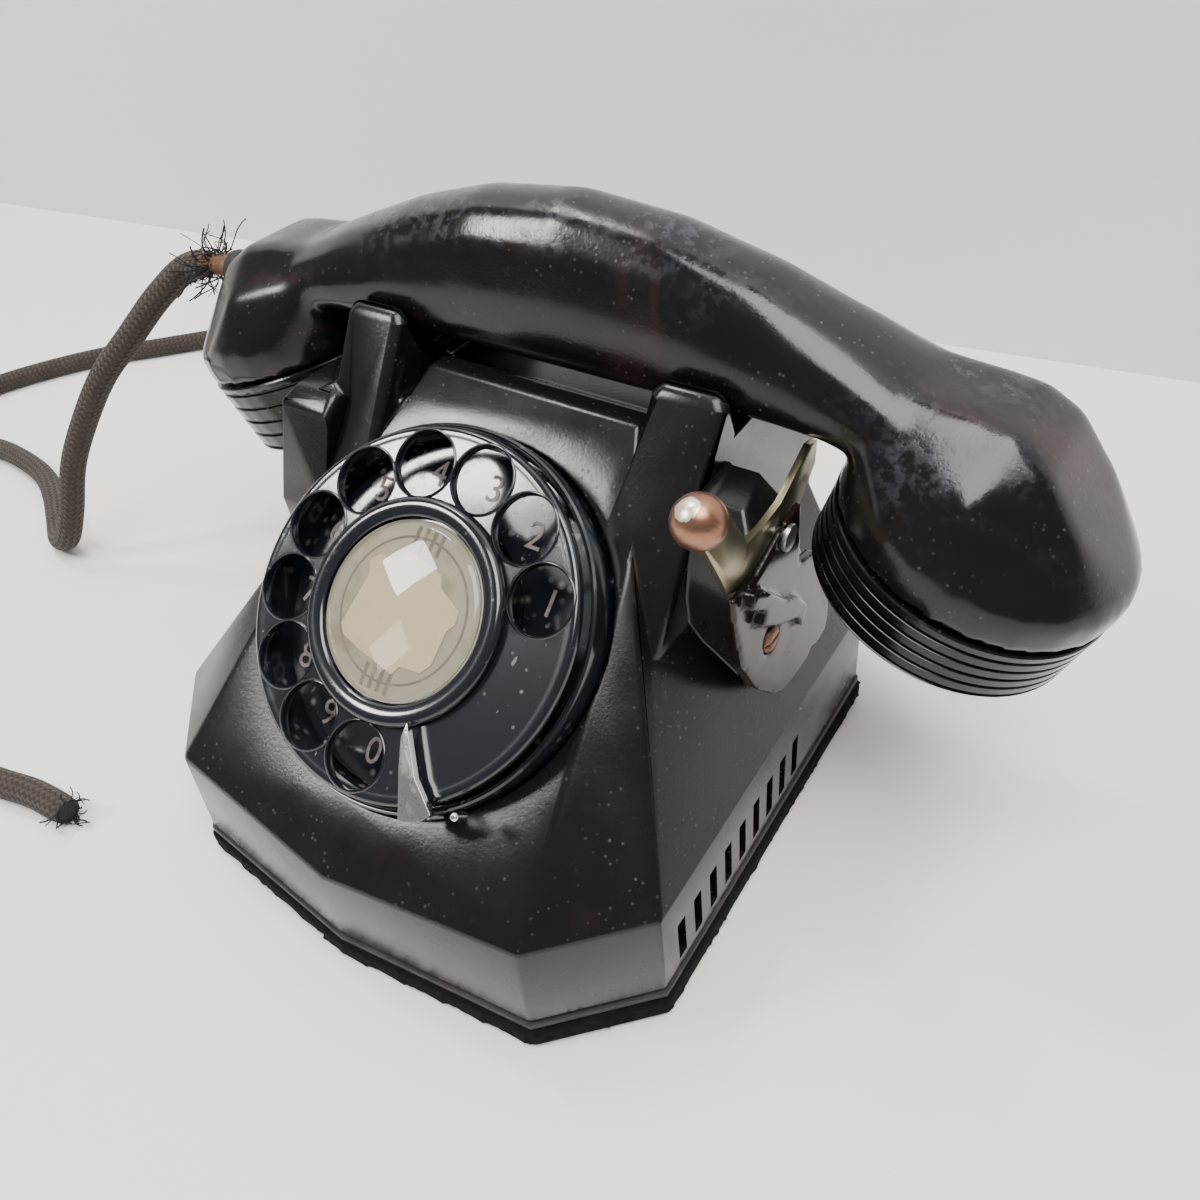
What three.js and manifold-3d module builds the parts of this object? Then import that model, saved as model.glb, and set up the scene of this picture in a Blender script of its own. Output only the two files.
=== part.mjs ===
// Desk telephone with a rotary dial, a lift-off handset and a hand lever on the right cheek.
// Millimetres, +Z up, +X to the right of somebody facing the dial, -Y to the front.
import * as THREE from 'three';
import { ConvexGeometry } from 'three/addons/geometries/ConvexGeometry.js';
import { mergeVertices } from 'three/addons/utils/BufferGeometryUtils.js';
import Module from 'manifold-3d';

const wasm = await Module();
wasm.setup();

// ---------------------------------------------------------------- driving sizes
const gap = 0.3;                    // air left between two touching parts

// plan outline of the case at the top of the skirt
const cornerX = 46.3;               // front and rear corners
const sideX = 65.4;                 // straight sides
const noseY = -72.2;                // pointed front crease
const cornerY = -67.2;
const sideFrontY = -47.8;
const sideRearY = 52;
const rearY = 71.5;
const skirtDraft = 1;               // the skirt spreads this much down to its lower edge
const skirtBottomZ = 8.5;
const skirtTopZ = 32.9;
const wall = 3.4;

// slopes and crest above the skirt
const slopeRise = 0.8;              // height gained per millimetre towards the back
const ridgeBendShare = 0.745;       // the front slope turns in this far along its run
const crestFrontY = 12;
const crestRearY = 57;
const sideRise = 1.65;              // height gained per millimetre towards the middle
const troughDepth = 5;
const troughLip = 3.5;
const saddleThick = 3.6;            // wall left under the trough

// felt and floor plate
const feltThick = 6.1;
const feltProud = 1.2;
const plateThick = 1.8;
const plateProud = 0.4;

// ventilation slots
const slotCount = 9;
const slotPitch = 6.68;
const slotFirstY = -42.3;
const slotWidth = 3.0;
const slotBottomZ = 11.5;
const slotTopZ = 23.5;

// cradle horns
const hornInX = 31;
const hornOutX = 46.6;
const hornFootY = -18.5;            // front face at hornFootZ
const hornFootZ = 61;
const hornLean = 0.65;              // millimetres back per millimetre up
const hornTopZ = 109;
const hornTopThick = 5;
const rearHornY = 50;
const rearHornTopZ = 107;
const rearHornThick = 8;

// cheeks outboard of the horns
const cheekOutX = 57.8;
const cheekInX = 43;
const liftClearY = 12;              // left cheek stays in front of this, clear of the lifted handset

// dial
const dialY = -33.5;
const dialZ = 71;
const dialTilt = 47.9;              // degrees, direction of the dial axis above the horizontal
const wheelRadius = 38.1;
const wheelThick = 1.8;
const holeRadius = 6.8;
const holeCircle = 30;
const holeCount = 10;
const holeSteps = 13;               // the full circle is divided into this many steps
const holePhase = 23.2;             // degrees, first hole
const cupRadius = 39.9;
const cupWall = 1.7;
const cupDepth = 13;
const cupRimZ = -2.6;
const numberPlateZ = -9.4;
const cardRadius = 18.2;
const ringRadius = 23;
const ringHeight = 3.2;
const shaftRadius = 3;
const mainGearRadius = 15;
const pinionRadius = 4;

// handset
const handsetX = 3.5;               // it lies this far to the right of the middle
const handsetY = 29.5;
const capReach = 87.4;              // cap centre from the handset centre
const capZ = 80.6;                  // cap centre at its upper edge
const capTilt = 18;                 // degrees, the two cap faces lean towards each other
const capRadius = 28.5;
const receiverCapHeight = 15;
const transmitterCapHeight = 20.5;
const capFaceWall = 3;
const capTaper = 0.17;              // the transmitter cap narrows this much per millimetre
const housingRim = 8;               // round part of the housing above the cap
const handleStations = [            // from the middle outwards: reach, underside, top, half width
  [0, 99.2, 132.6, 14.4],
  [22, 99.4, 130.4, 14.5],
  [42, 100.2, 125, 15],
  [60, 100.4, 118, 16],
  [73, 98.6, 112.6, 17],
];

// hand lever
const leverX = 58.8;                // middle of the brass strip
const leverThick = 1.4;
const bracketFootX = 64;            // outer face of the bracket at its foot
const bracketTopX = 61.6;           // and at its top
const ribProud = 2.2;
const knobRadius = 4.9;

// cords
const cordRadius = 3.7;
const lineExitX = -22;
const spareInletX = 22;
const exitZ = 17;
const coilTurnRadius = 41;          // middle of the turns of the put-away line cord
const coilBundle = 15;              // width and height of the bundle of turns
const coilX = -350;
const coilY = -6;

// ---------------------------------------------------------------- helpers
const deg = Math.PI / 180;
const group = new THREE.Group();
group.name = 'rotary_desk_telephone';

function solid(geometry) {
  const flat = geometry.index ? geometry.toNonIndexed() : geometry.clone();
  flat.deleteAttribute('normal');
  flat.deleteAttribute('uv');
  const merged = mergeVertices(flat, 1e-4);
  const mesh = new wasm.Mesh({
    numProp: 3,
    vertProperties: new Float32Array(merged.attributes.position.array),
    triVerts: new Uint32Array(merged.index.array),
  });
  return new wasm.Manifold(mesh);
}

function toGeometry(manifold) {
  const mesh = manifold.getMesh();
  const geometry = new THREE.BufferGeometry();
  geometry.setAttribute('position', new THREE.BufferAttribute(new Float32Array(mesh.vertProperties), 3));
  geometry.setIndex(new THREE.BufferAttribute(new Uint32Array(mesh.triVerts), 1));
  geometry.computeVertexNormals();
  return geometry;
}

function add(...parts) {
  return parts.reduce((whole, part) => whole.add(part));
}

function cut(body, ...tools) {
  return tools.reduce((rest, tool) => rest.subtract(tool), body);
}

function box(x0, x1, y0, y1, z0, z1) {
  const geometry = new THREE.BoxGeometry(x1 - x0, y1 - y0, z1 - z0);
  geometry.translate((x0 + x1) / 2, (y0 + y1) / 2, (z0 + z1) / 2);
  return solid(geometry);
}

function hull(points) {
  return solid(new ConvexGeometry(points.map((p) => new THREE.Vector3(...p))));
}

// turned part: profile is [radius, height] and starts and ends on the axis or closes on itself
function turned(profile, segments = 32) {
  const geometry = new THREE.LatheGeometry(profile.map((p) => new THREE.Vector2(...p)), segments);
  geometry.rotateX(Math.PI / 2);
  return solid(geometry);
}

function disc(radius, z0, z1, segments = 32) {
  return turned([[0, z0], [radius, z0], [radius, z1], [0, z1]], segments);
}

// ring between two radii
function ring(inner, outer, z0, z1, segments = 32) {
  return turned([[inner, z0], [outer, z0], [outer, z1], [inner, z1], [inner, z0]], segments);
}

// flat outline [a, b] swept along +Z by depth
function plate(outline, depth, holes = []) {
  const shape = new THREE.Shape(outline.map((p) => new THREE.Vector2(...p)));
  for (const hole of holes) {
    shape.holes.push(new THREE.Path(hole.map((p) => new THREE.Vector2(...p))));
  }
  return solid(new THREE.ExtrudeGeometry(shape, { depth, bevelEnabled: false, steps: 1 }));
}

// outline given as [y, z], swept along X from x0 to x1
function sidePlate(outline, x0, x1) {
  const upright = plate(outline, x1 - x0);
  return upright.rotate([90, 0, 90]).translate([x0, 0, 0]);
}

function mirrored(manifold) {
  return manifold.mirror([1, 0, 0]);
}

function place(manifold, matrix) {
  const e = matrix.elements;
  return manifold.transform([...e]);
}

function tube(points, radius, sides, steps) {
  const path = new THREE.CatmullRomCurve3(points.map((p) => new THREE.Vector3(...p)), false, 'centripetal');
  const shape = new THREE.Shape();
  for (let i = 0; i < sides; i += 1) {
    const a = (i / sides) * Math.PI * 2;
    const x = Math.cos(a) * radius;
    const y = Math.sin(a) * radius;
    if (i === 0) shape.moveTo(x, y);
    else shape.lineTo(x, y);
  }
  shape.closePath();
  return solid(new THREE.ExtrudeGeometry(shape, { steps, bevelEnabled: false, extrudePath: path }));
}

// skin through a row of closed sections, each an array of [x, y, z]
function loft(sections) {
  const count = sections[0].length;
  const position = sections.flat(2);
  const index = [];
  for (let s = 0; s + 1 < sections.length; s += 1) {
    for (let i = 0; i < count; i += 1) {
      const a = s * count + i;
      const b = s * count + ((i + 1) % count);
      index.push(a, b, b + count, a, b + count, a + count);
    }
  }
  const last = (sections.length - 1) * count;
  for (let i = 1; i + 1 < count; i += 1) {
    index.push(0, i + 1, i);
    index.push(last, last + i, last + i + 1);
  }
  const geometry = new THREE.BufferGeometry();
  geometry.setAttribute('position', new THREE.Float32BufferAttribute(position, 3));
  geometry.setIndex(index);
  return solid(geometry);
}

function part(name, manifold, color, roughness = 0.4, metalness = 0) {
  const material = new THREE.MeshStandardMaterial({ color, roughness, metalness });
  material.name = `${name}_material`;
  const mesh = new THREE.Mesh(toGeometry(manifold), material);
  mesh.name = name;
  group.add(mesh);
  return manifold;
}

const black = 0x0c0b0c;
const enamel = 0x08090b;
const steel = 0xb8bcc2;
const brass = 0xb09a55;
const dark = 0x1a1512;
const nickel = 0xc9ccd0;
const copper = 0xa86a3c;

// ---------------------------------------------------------------- case outline
const crestZ = skirtTopZ + slopeRise * (crestFrontY - cornerY);
const crestX = sideX - (crestZ - skirtTopZ) / sideRise;
const ridgeY = cornerY + ridgeBendShare * (crestFrontY - cornerY);
const ridgeZ = skirtTopZ + slopeRise * (ridgeY - cornerY);
const ridgeX = sideX - (ridgeZ - skirtTopZ) / sideRise;

// plan outline grown by `spread`, right half then left half, counter-clockwise from the nose
function planOutline(spread) {
  const half = [
    [cornerX + 0.42 * spread, cornerY - 0.9 * spread],
    [sideX + spread, sideFrontY - 0.4 * spread],
    [sideX + spread, sideRearY + 0.4 * spread],
    [cornerX + 0.42 * spread, rearY + spread],
  ];
  const left = half.map(([x, y]) => [-x, y]).reverse();
  return [[0, noseY - spread], ...half, ...left];
}

function atHeight(outline, z) {
  return outline.map(([x, y]) => [x, y, z]);
}

// the faceted body; inset moves every face inwards
function bodyHull(inset, bottomZ) {
  const top = planOutline(-inset).map(([x, y]) => {
    const onNose = Math.abs(x) < 1e-6;
    const z = onNose ? skirtTopZ + slopeRise * (noseY - cornerY) : skirtTopZ;
    return [x, y, z - 0.45 * inset];
  });
  const crest = [];
  for (const side of [-1, 1]) {
    crest.push([side * (ridgeX - inset), ridgeY + inset * 0.6, ridgeZ - inset]);
    crest.push([side * (crestX - inset * 0.7), crestFrontY + inset * 0.6, crestZ - inset * 1.1]);
    crest.push([side * (crestX - inset * 0.7), crestRearY - inset, crestZ - inset * 1.1]);
  }
  return hull([...atHeight(planOutline(skirtDraft - inset), bottomZ), ...top, ...crest]);
}

// ---------------------------------------------------------------- dial frame of reference
const dialNormal = new THREE.Vector3(0, -Math.cos(dialTilt * deg), Math.sin(dialTilt * deg));
const dialUp = new THREE.Vector3(0, Math.sin(dialTilt * deg), Math.cos(dialTilt * deg));
const dialMatrix = new THREE.Matrix4().makeBasis(new THREE.Vector3(1, 0, 0), dialUp, dialNormal);
dialMatrix.setPosition(0, dialY, dialZ);

function onDial(manifold) {
  return place(manifold, dialMatrix);
}

// ---------------------------------------------------------------- case
function hornProfile() {
  const frontY = (z) => hornFootY + hornLean * (z - hornFootZ);
  const floorZ = handleStations[2][1] - 0.9;
  return [
    [frontY(hornFootZ - 9), hornFootZ - 9],
    [rearHornY + 6, hornFootZ - 9],
    [rearHornY + rearHornThick, 84],
    [rearHornY + rearHornThick - 1, rearHornTopZ - 4],
    [rearHornY + rearHornThick - 3.5, rearHornTopZ],
    [rearHornY - 1, rearHornTopZ],
    [rearHornY - 3.2, rearHornTopZ - 3],
    [rearHornY - 4.6, floorZ],
    [16, floorZ],
    [frontY(hornTopZ) + hornTopThick - 3.6, hornTopZ - 5],
    [frontY(hornTopZ) + hornTopThick - 4.2, hornTopZ - 1.6],
    [frontY(hornTopZ) - 1.4, hornTopZ - 0.6],
    [frontY(hornTopZ) - 3.4, hornTopZ - 3.2],
  ];
}

// horn with its upper and front edges broken
function horn() {
  const outline = hornProfile();
  const body = sidePlate(outline, hornInX, hornOutX);
  const bevel = 2.4;
  const trims = [];
  for (const [edge, sign] of [[hornInX, -1], [hornOutX, 1]]) {
    trims.push(hull([
      [edge + sign * 0.5, -40, hornTopZ + 4], [edge + sign * 0.5, 60, hornTopZ + 4],
      [edge + sign * 0.5, -40, hornTopZ - 4.2], [edge + sign * 0.5, 60, hornTopZ - 4.2],
      [edge - sign * (bevel + 1.7), -40, hornTopZ + 4], [edge - sign * (bevel + 1.7), 60, hornTopZ + 4],
    ]));
  }
  return cut(body, ...trims);
}

// cheek outlines as [y, z], from the upper front corner round the foot and back
const leftCheek = [
  [-1.6, 91.6], [-3.6, 90.4], [-5.9, 88.5], [-9.1, 79.6], [-13.8, 66.4], [-13.4, 58], [-10, 51],
  [-3, 44], [6, 40], [16, 39.4], [24, 42], [29, 47], [31, 53], [28, 59], [20, 64],
  [liftClearY, 66], [liftClearY, 91],
];
const rightCheek = [
  [2, 92], [-1.6, 88], [-3.6, 80], [-4.4, 72.5], [-2, 60], [2, 50], [9, 42], [18, 39.4], [25, 42],
  [29.4, 47], [31, 53], [30, 60], [26, 67], [18, 72], [liftClearY, 94],
];

// outboard cheek with its upper outer edge broken
function cheek(outline) {
  const body = sidePlate(outline, cheekInX, cheekOutX);
  const trim = hull([
    [cheekOutX + 1, -20, 100], [cheekOutX + 1, 45, 100], [cheekOutX - 9, -20, 100], [cheekOutX - 9, 45, 100],
    [cheekOutX + 1, -20, 87.5], [cheekOutX + 1, 45, 87.5],
  ]);
  return cut(body, trim);
}

function louvres() {
  const slots = [];
  for (let i = 0; i < slotCount; i += 1) {
    const y = slotFirstY + i * slotPitch;
    slots.push(box(sideX - wall - 6, sideX + 6, y, y + slotWidth, slotBottomZ, slotTopZ));
  }
  return add(...slots);
}

const saddleBottomZ = crestZ - troughDepth - saddleThick;
const plungerX = (hornInX + hornOutX) / 2;
const plungerRadius = 3;
const outer = bodyHull(0, skirtBottomZ);
const trough = sidePlate([
  [crestFrontY + troughLip, crestZ + 1], [crestFrontY + troughLip + 9, crestZ - troughDepth],
  [crestRearY - troughLip - 9, crestZ - troughDepth], [crestRearY - troughLip, crestZ + 1],
], -hornInX - 1, hornInX + 1);
const bore = onDial(disc(cupRadius + gap, -40, 30, 48));
const cordHole = (x, radius) => {
  const hole = disc(radius, -15, 15, 16).rotate([90, 0, 0]);
  return hole.translate([x, rearY, exitZ]);
};
const grommetRadius = 6.2;
const saddle = box(-hornInX - 4, hornInX + 4, crestFrontY, crestRearY, saddleBottomZ, crestZ).intersect(outer);
let shell = add(outer, horn(), mirrored(horn()), cheek(rightCheek), mirrored(cheek(leftCheek)));
shell = add(cut(shell, bodyHull(wall, skirtBottomZ - 5)), saddle);
shell = cut(shell, trough, bore, louvres(), mirrored(louvres()));
shell = cut(shell, cordHole(lineExitX, grommetRadius + gap), cordHole(spareInletX, grommetRadius + gap));
for (const side of [-1, 1]) {
  const well = disc(plungerRadius + gap, 40, 120, 16).translate([side * plungerX, handsetY, 0]);
  shell = cut(shell, well);
}
part('case', shell, black, 0.35);

// ---------------------------------------------------------------- floor plate, felt and screws
const plateOutline = planOutline(skirtDraft + plateProud);
const screwSpots = [[-50, -44], [50, -44], [-50, 48], [50, 48]];
const screwRadius = 3.2;
const plateTopZ = feltThick + gap + plateThick;
function feltHoles(radius) {
  return screwSpots.map(([x, y]) => disc(radius, -1, plateTopZ + 1, 12).translate([x, y, 0]));
}
part('base_plate', cut(
  plate(plateOutline, plateThick).translate([0, 0, feltThick + gap]),
  ...feltHoles(1.9),
), dark, 0.6, 0.4);
part('base_felt', cut(plate(planOutline(feltProud + skirtDraft), feltThick), ...feltHoles(screwRadius + 0.6)),
  0x101010, 0.95);
screwSpots.forEach(([x, y], i) => {
  const head = turned([
    [0, 3.2], [screwRadius, 3.2], [screwRadius, feltThick - 0.1], [1.6, feltThick - 0.1],
    [1.6, plateTopZ + 4], [0, plateTopZ + 4],
  ], 12);
  const slot = box(-0.5, 0.5, -4, 4, 2.8, 4.1);
  part(`base_screw_${i + 1}`, cut(head, slot).translate([x, y, 0]), steel, 0.35, 0.9);
});

// ---------------------------------------------------------------- dial, fixed pieces
const boreInCup = shaftRadius + 0.6;
part('dial_cup', onDial(turned([
  [boreInCup, -cupDepth], [cupRadius, -cupDepth], [cupRadius, cupRimZ - 0.8], [cupRadius - 0.6, cupRimZ],
  [cupRadius - cupWall + 0.4, cupRimZ], [cupRadius - cupWall, cupRimZ - 0.6],
  [cupRadius - cupWall, -cupDepth + 1.5], [boreInCup, -cupDepth + 1.5], [boreInCup, -cupDepth],
], 48)), enamel, 0.25);

part('number_plate', onDial(turned([
  [21, numberPlateZ - 1.2], [cupRadius - cupWall - 1.2, numberPlateZ - 1.2],
  [cupRadius - cupWall - 1.2, numberPlateZ], [21, numberPlateZ], [21, numberPlateZ - 1.2],
], 40)), enamel, 0.3);

// tusk-shaped stop that reaches over the wheel from the rim of the cup
const stopAngle = -58.6;
const stopZ = wheelThick + 0.6;
const stopOutline = [
  [22.4, 0.3], [24.8, -1.3], [31, -2.5], [40.2, -3.6], [40.9, -1.2], [40.9, 1.6],
  [40.1, 3.6], [33, 0.9], [26, 0.4],
];
const stopLeg = hull([
  [39.2, -2.8, cupRimZ + gap], [40.8, -2.8, cupRimZ + gap], [39.2, 2.6, cupRimZ + gap],
  [40.8, 2.6, cupRimZ + gap],
  [39.2, -2.8, stopZ + 0.4], [40.8, -2.8, stopZ + 0.4], [39.2, 2.6, stopZ + 0.4], [40.8, 2.6, stopZ + 0.4],
]);
part('finger_stop', onDial(
  add(plate(stopOutline, 1.6).translate([0, 0, stopZ]), stopLeg).rotate([0, 0, stopAngle]),
), nickel, 0.3, 0.9);
part('stop_pin', onDial(
  turned([[0, -2.9], [0.9, -2.9], [0.9, 0.6], [0.5, 1.1], [0, 1.1]], 12)
    .translate([39.2 * Math.cos(-47 * deg) + 1.9, 39.2 * Math.sin(-47 * deg) - 1.9, 3.2]),
), steel, 0.4, 0.8);

// movement behind the cup
const movementZ = -cupDepth - 3;
const pinionX = mainGearRadius + pinionRadius + gap;
const frameDisc = turned([
  [boreInCup, movementZ - 16], [30, movementZ - 16], [30, movementZ - 14.6], [boreInCup, movementZ - 14.6],
  [boreInCup, movementZ - 16],
], 32);
const framePosts = [60, 180, 300].map((a) => disc(2, movementZ - 14.6, -cupDepth - gap, 10)
  .translate([27 * Math.cos(a * deg), 27 * Math.sin(a * deg), 0]));
const pinionBore = disc(1.3, movementZ - 20, movementZ - 10, 12).translate([pinionX, 0, 0]);
part('dial_frame', onDial(cut(add(frameDisc, ...framePosts), pinionBore)), steel, 0.4, 0.8);
part('spring_housing', onDial(ring(shaftRadius + 0.6, 11, movementZ - 13.6, movementZ - 6, 24)), brass, 0.4, 0.8);
part('pulse_springs', onDial(add(
  box(20, 25, -19, -13, movementZ - 14.2, movementZ - 4),
  box(21, 21.6, -13.2, -9, movementZ - 12, movementZ - 9),
  box(23.2, 23.8, -13.2, -8, movementZ - 12, movementZ - 9),
)), 0x6a4a2a, 0.5);

// ---------------------------------------------------------------- dial, moving pieces
const holeStep = 360 / holeSteps;
function fingerHoles(radius) {
  const list = [];
  for (let i = 0; i < holeCount; i += 1) {
    const a = (holePhase + i * holeStep) * deg;
    list.push([holeCircle * Math.cos(a), holeCircle * Math.sin(a), radius]);
  }
  return list;
}
const wheelBlank = turned([
  [0, -0.4], [wheelRadius - 1.2, -0.4], [wheelRadius - 0.4, -1.2], [wheelRadius, -0.6], [wheelRadius, 0.8],
  [wheelRadius - 1.2, 1.2], [wheelRadius - 2.4, 0.9], [0, 0.9],
], 48);
const wheelHoles = fingerHoles(holeRadius).map(([x, y, r]) => disc(r, -3, 3, 16).translate([x, y, 0]));
part('finger_wheel', onDial(cut(wheelBlank, ...wheelHoles)), enamel, 0.2);
part('card_ring', onDial(turned([
  [cardRadius + 0.9, 0.9 + gap], [ringRadius, 0.9 + gap + 0.2], [ringRadius - 0.6, ringHeight - 0.4],
  [ringRadius - 2, ringHeight], [cardRadius + 0.6, ringHeight - 0.6], [cardRadius + 0.9, 0.9 + gap],
], 36)), enamel, 0.2);
part('number_card', onDial(disc(cardRadius + 0.2, 0.9 + gap, 1.6, 32)), 0xd9c9a0, 0.7);
part('card_window', onDial(turned([
  [0, 1.6 + gap], [cardRadius, 1.6 + gap], [cardRadius, 2.3], [cardRadius * 0.75, 3.1],
  [cardRadius * 0.4, 3.6], [0, 3.8],
], 32)), 0xe8e4d8, 0.1);

// toothed blank whose teeth stay inside its tip circle
function toothed(tip, depth, teeth, z0, z1) {
  const outline = [];
  for (let i = 0; i < teeth; i += 1) {
    const a = (i / teeth) * Math.PI * 2;
    const b = ((i + 0.5) / teeth) * Math.PI * 2;
    outline.push([tip * Math.cos(a), tip * Math.sin(a)]);
    outline.push([(tip - depth) * Math.cos(b), (tip - depth) * Math.sin(b)]);
  }
  return plate(outline, z1 - z0).translate([0, 0, z0]);
}
part('dial_shaft', onDial(add(
  disc(shaftRadius, movementZ - 18, -0.4 - gap, 16),
  disc(8, -3.4, -0.4 - gap, 20),
)), steel, 0.35, 0.9);
part('main_gear', onDial(cut(
  toothed(mainGearRadius, 0.9, 30, movementZ - 3, movementZ - 1),
  disc(shaftRadius + gap, movementZ - 6, movementZ + 4, 16),
)), brass, 0.35, 0.9);
part('pulse_cam', onDial(add(
  toothed(pinionRadius, 0.7, 10, movementZ - 3.5, movementZ - 0.5),
  disc(1, movementZ - 17, movementZ - 0.5, 10),
  plate([[6, 0], [2.4, 2.4], [-2.4, 2.4], [-6, 0], [-2.4, -2.4], [2.4, -2.4]], 2.4)
    .translate([0, 0, movementZ - 12.4]),
).translate([pinionX, 0, 0])), 0x3a2618, 0.5);

// governor spindle, lying across the movement
const governorX = -19;
const governorZ = movementZ - 8;
part('governor', onDial(add(
  disc(1, -14, 14, 10), disc(2.2, -3, 3, 12),
  ring(0.8, 4.6, 7.4, 9.2, 14),
  box(-4.6, -1.6, -1.5, 1.5, 6, 11), box(1.6, 4.6, -1.5, 1.5, 6, 11),
).rotate([-90, 0, 0]).translate([governorX, 0, governorZ])), brass, 0.35, 0.9);
const governorEnds = [-1, 1].map((s) => cut(
  box(governorX - 2.5, governorX + 2.5, s * 13.1 - 0.9, s * 13.1 + 0.9, movementZ - 14.3, governorZ + 2.4),
  disc(1.3, -3, 3, 10).rotate([90, 0, 0]).translate([governorX, s * 13.1, governorZ]),
));
part('governor_post_a', onDial(governorEnds[0]), steel, 0.4, 0.8);
part('governor_post_b', onDial(governorEnds[1]), steel, 0.4, 0.8);

// ---------------------------------------------------------------- ringer, on the floor plate
const floorZ = plateTopZ + gap;
const gongRadius = 20;
const gongX = 26;
const gongY = 22;
function gong(x) {
  return turned([
    [0, 19.2], [6.4, 19.2], [13.2, 17], [gongRadius - 2.4, 13], [gongRadius - 1.4, 10.4], [gongRadius, 10.4],
    [gongRadius - 1, 13.4], [14, 18.6], [7, 21], [0, 21],
  ], 28).translate([x, gongY, floorZ]);
}
const clapperY = 44;
part('ringer_frame', cut(add(
  box(-32, 32, clapperY - 4, clapperY + 12, floorZ, floorZ + 2),
  box(-5, 5, clapperY - 3, clapperY + 3, floorZ, floorZ + 5),
  disc(2.4, floorZ, floorZ + 19.2 - gap, 12).translate([gongX, gongY, 0]),
  disc(2.4, floorZ, floorZ + 19.2 - gap, 12).translate([-gongX, gongY, 0]),
  box(-30, -22, gongY - 3, clapperY, floorZ, floorZ + 2),
  box(22, 30, gongY - 3, clapperY, floorZ, floorZ + 2),
), disc(1.3, floorZ + 2.4, floorZ + 8, 10).translate([0, clapperY, 0])), steel, 0.45, 0.7);
part('gong_left', gong(-gongX), brass, 0.25, 0.95);
part('gong_right', gong(gongX), brass, 0.25, 0.95);
function ringerCoil(x) {
  return add(
    ring(3, 8, floorZ + 2 + gap, floorZ + 3.6, 20), ring(3, 7, floorZ + 3.4, floorZ + 19, 20),
    ring(3, 8, floorZ + 18.6, floorZ + 20, 20),
  ).translate([x, clapperY + 6, 0]);
}
part('coil_left', ringerCoil(-17), copper, 0.5, 0.5);
part('coil_right', ringerCoil(17), copper, 0.5, 0.5);
part('clapper', add(
  disc(1, floorZ + 2.8, floorZ + 14, 10).translate([0, clapperY, 0]),
  box(-1, 1, gongY - 1, clapperY + 0.5, floorZ + 11.6, floorZ + 13.2),
  turned([[0, 9.4], [2.4, 9.4], [3, 11], [3, 13.6], [2.4, 15.2], [0, 15.2]], 16).translate([0, gongY, floorZ]),
  box(-7, 7, clapperY - 0.8, clapperY + 0.8, floorZ + 11, floorZ + 13),
), steel, 0.35, 0.9);

// ---------------------------------------------------------------- electrical parts
part('condenser', add(
  box(-26, 26, -50, -24, floorZ, floorZ + 17),
  box(-30, 30, -41, -33, floorZ, floorZ + 1.2),
), 0x8a8d86, 0.45, 0.6);
part('induction_coil', add(
  disc(4, -27, 27, 12), ring(3.4, 9, -26, -24, 24), ring(3.4, 9, 24, 26, 24), ring(3.4, 7.6, -24.5, 24.5, 24),
  box(3, 9.2, -3, 3, -27, -24.5), box(3, 9.2, -3, 3, 24.5, 27),
).rotate([0, 90, 0]).translate([0, -8, floorZ + 9.2]), copper, 0.5, 0.4);
const terminalY = rearY - wall - 5.1;    // middle of the block, just clear of the inlet bushings
const terminal = box(-24, 24, terminalY - 3, terminalY + 3, floorZ, floorZ + 5);
const terminalScrews = [-18, -9, 0, 9, 18].map(
  (x) => disc(1.8, floorZ + 4, floorZ + 7, 10).translate([x, terminalY, 0]),
);
part('terminal_block', add(terminal, ...terminalScrews), 0x2a1c14, 0.5);

// ---------------------------------------------------------------- cradle switch
const plungerTopZ = handleStations[2][1] - 0.35;
const barZ = 60;
const barEndX = plungerX + 2;
function plunger(side) {
  return turned([
    [0, barZ + 3], [plungerRadius, barZ + 3], [plungerRadius, plungerTopZ - 1], [plungerRadius - 1, plungerTopZ],
    [0, plungerTopZ],
  ], 16).translate([side * plungerX, handsetY, 0]);
}
part('plunger_left', plunger(-1), enamel, 0.3);
part('plunger_right', plunger(1), enamel, 0.3);
part('hook_bar', add(
  box(-barEndX, barEndX, handsetY - 2.4, handsetY + 2.4, barZ, barZ + 3 - gap),
  box(-2, 2, handsetY - 2, handsetY + 2, barZ - 10, barZ + 1),
), steel, 0.4, 0.8);
const switchZ = barZ - 20;
part('hook_bracket', add(
  box(-14, 14, handsetY + 6, handsetY + 8, switchZ, saddleBottomZ - gap),
  box(-14, 14, handsetY + 6, handsetY + 20, saddleBottomZ - gap - 2, saddleBottomZ - gap),
  box(-9, 9, handsetY - 4, handsetY + 7, switchZ, switchZ + 2),
), steel, 0.45, 0.7);
part('contact_stack', add(
  box(-8, -3.5, handsetY - 3.5, handsetY + 5.7, switchZ + 2 + gap, switchZ + 9),
  box(-7, -2.6, handsetY - 12, handsetY - 3, switchZ + 4, switchZ + 4.6),
  box(-7, -2.6, handsetY - 12, handsetY - 3, switchZ + 6.4, switchZ + 7),
), 0x5a3c22, 0.5);

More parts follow.
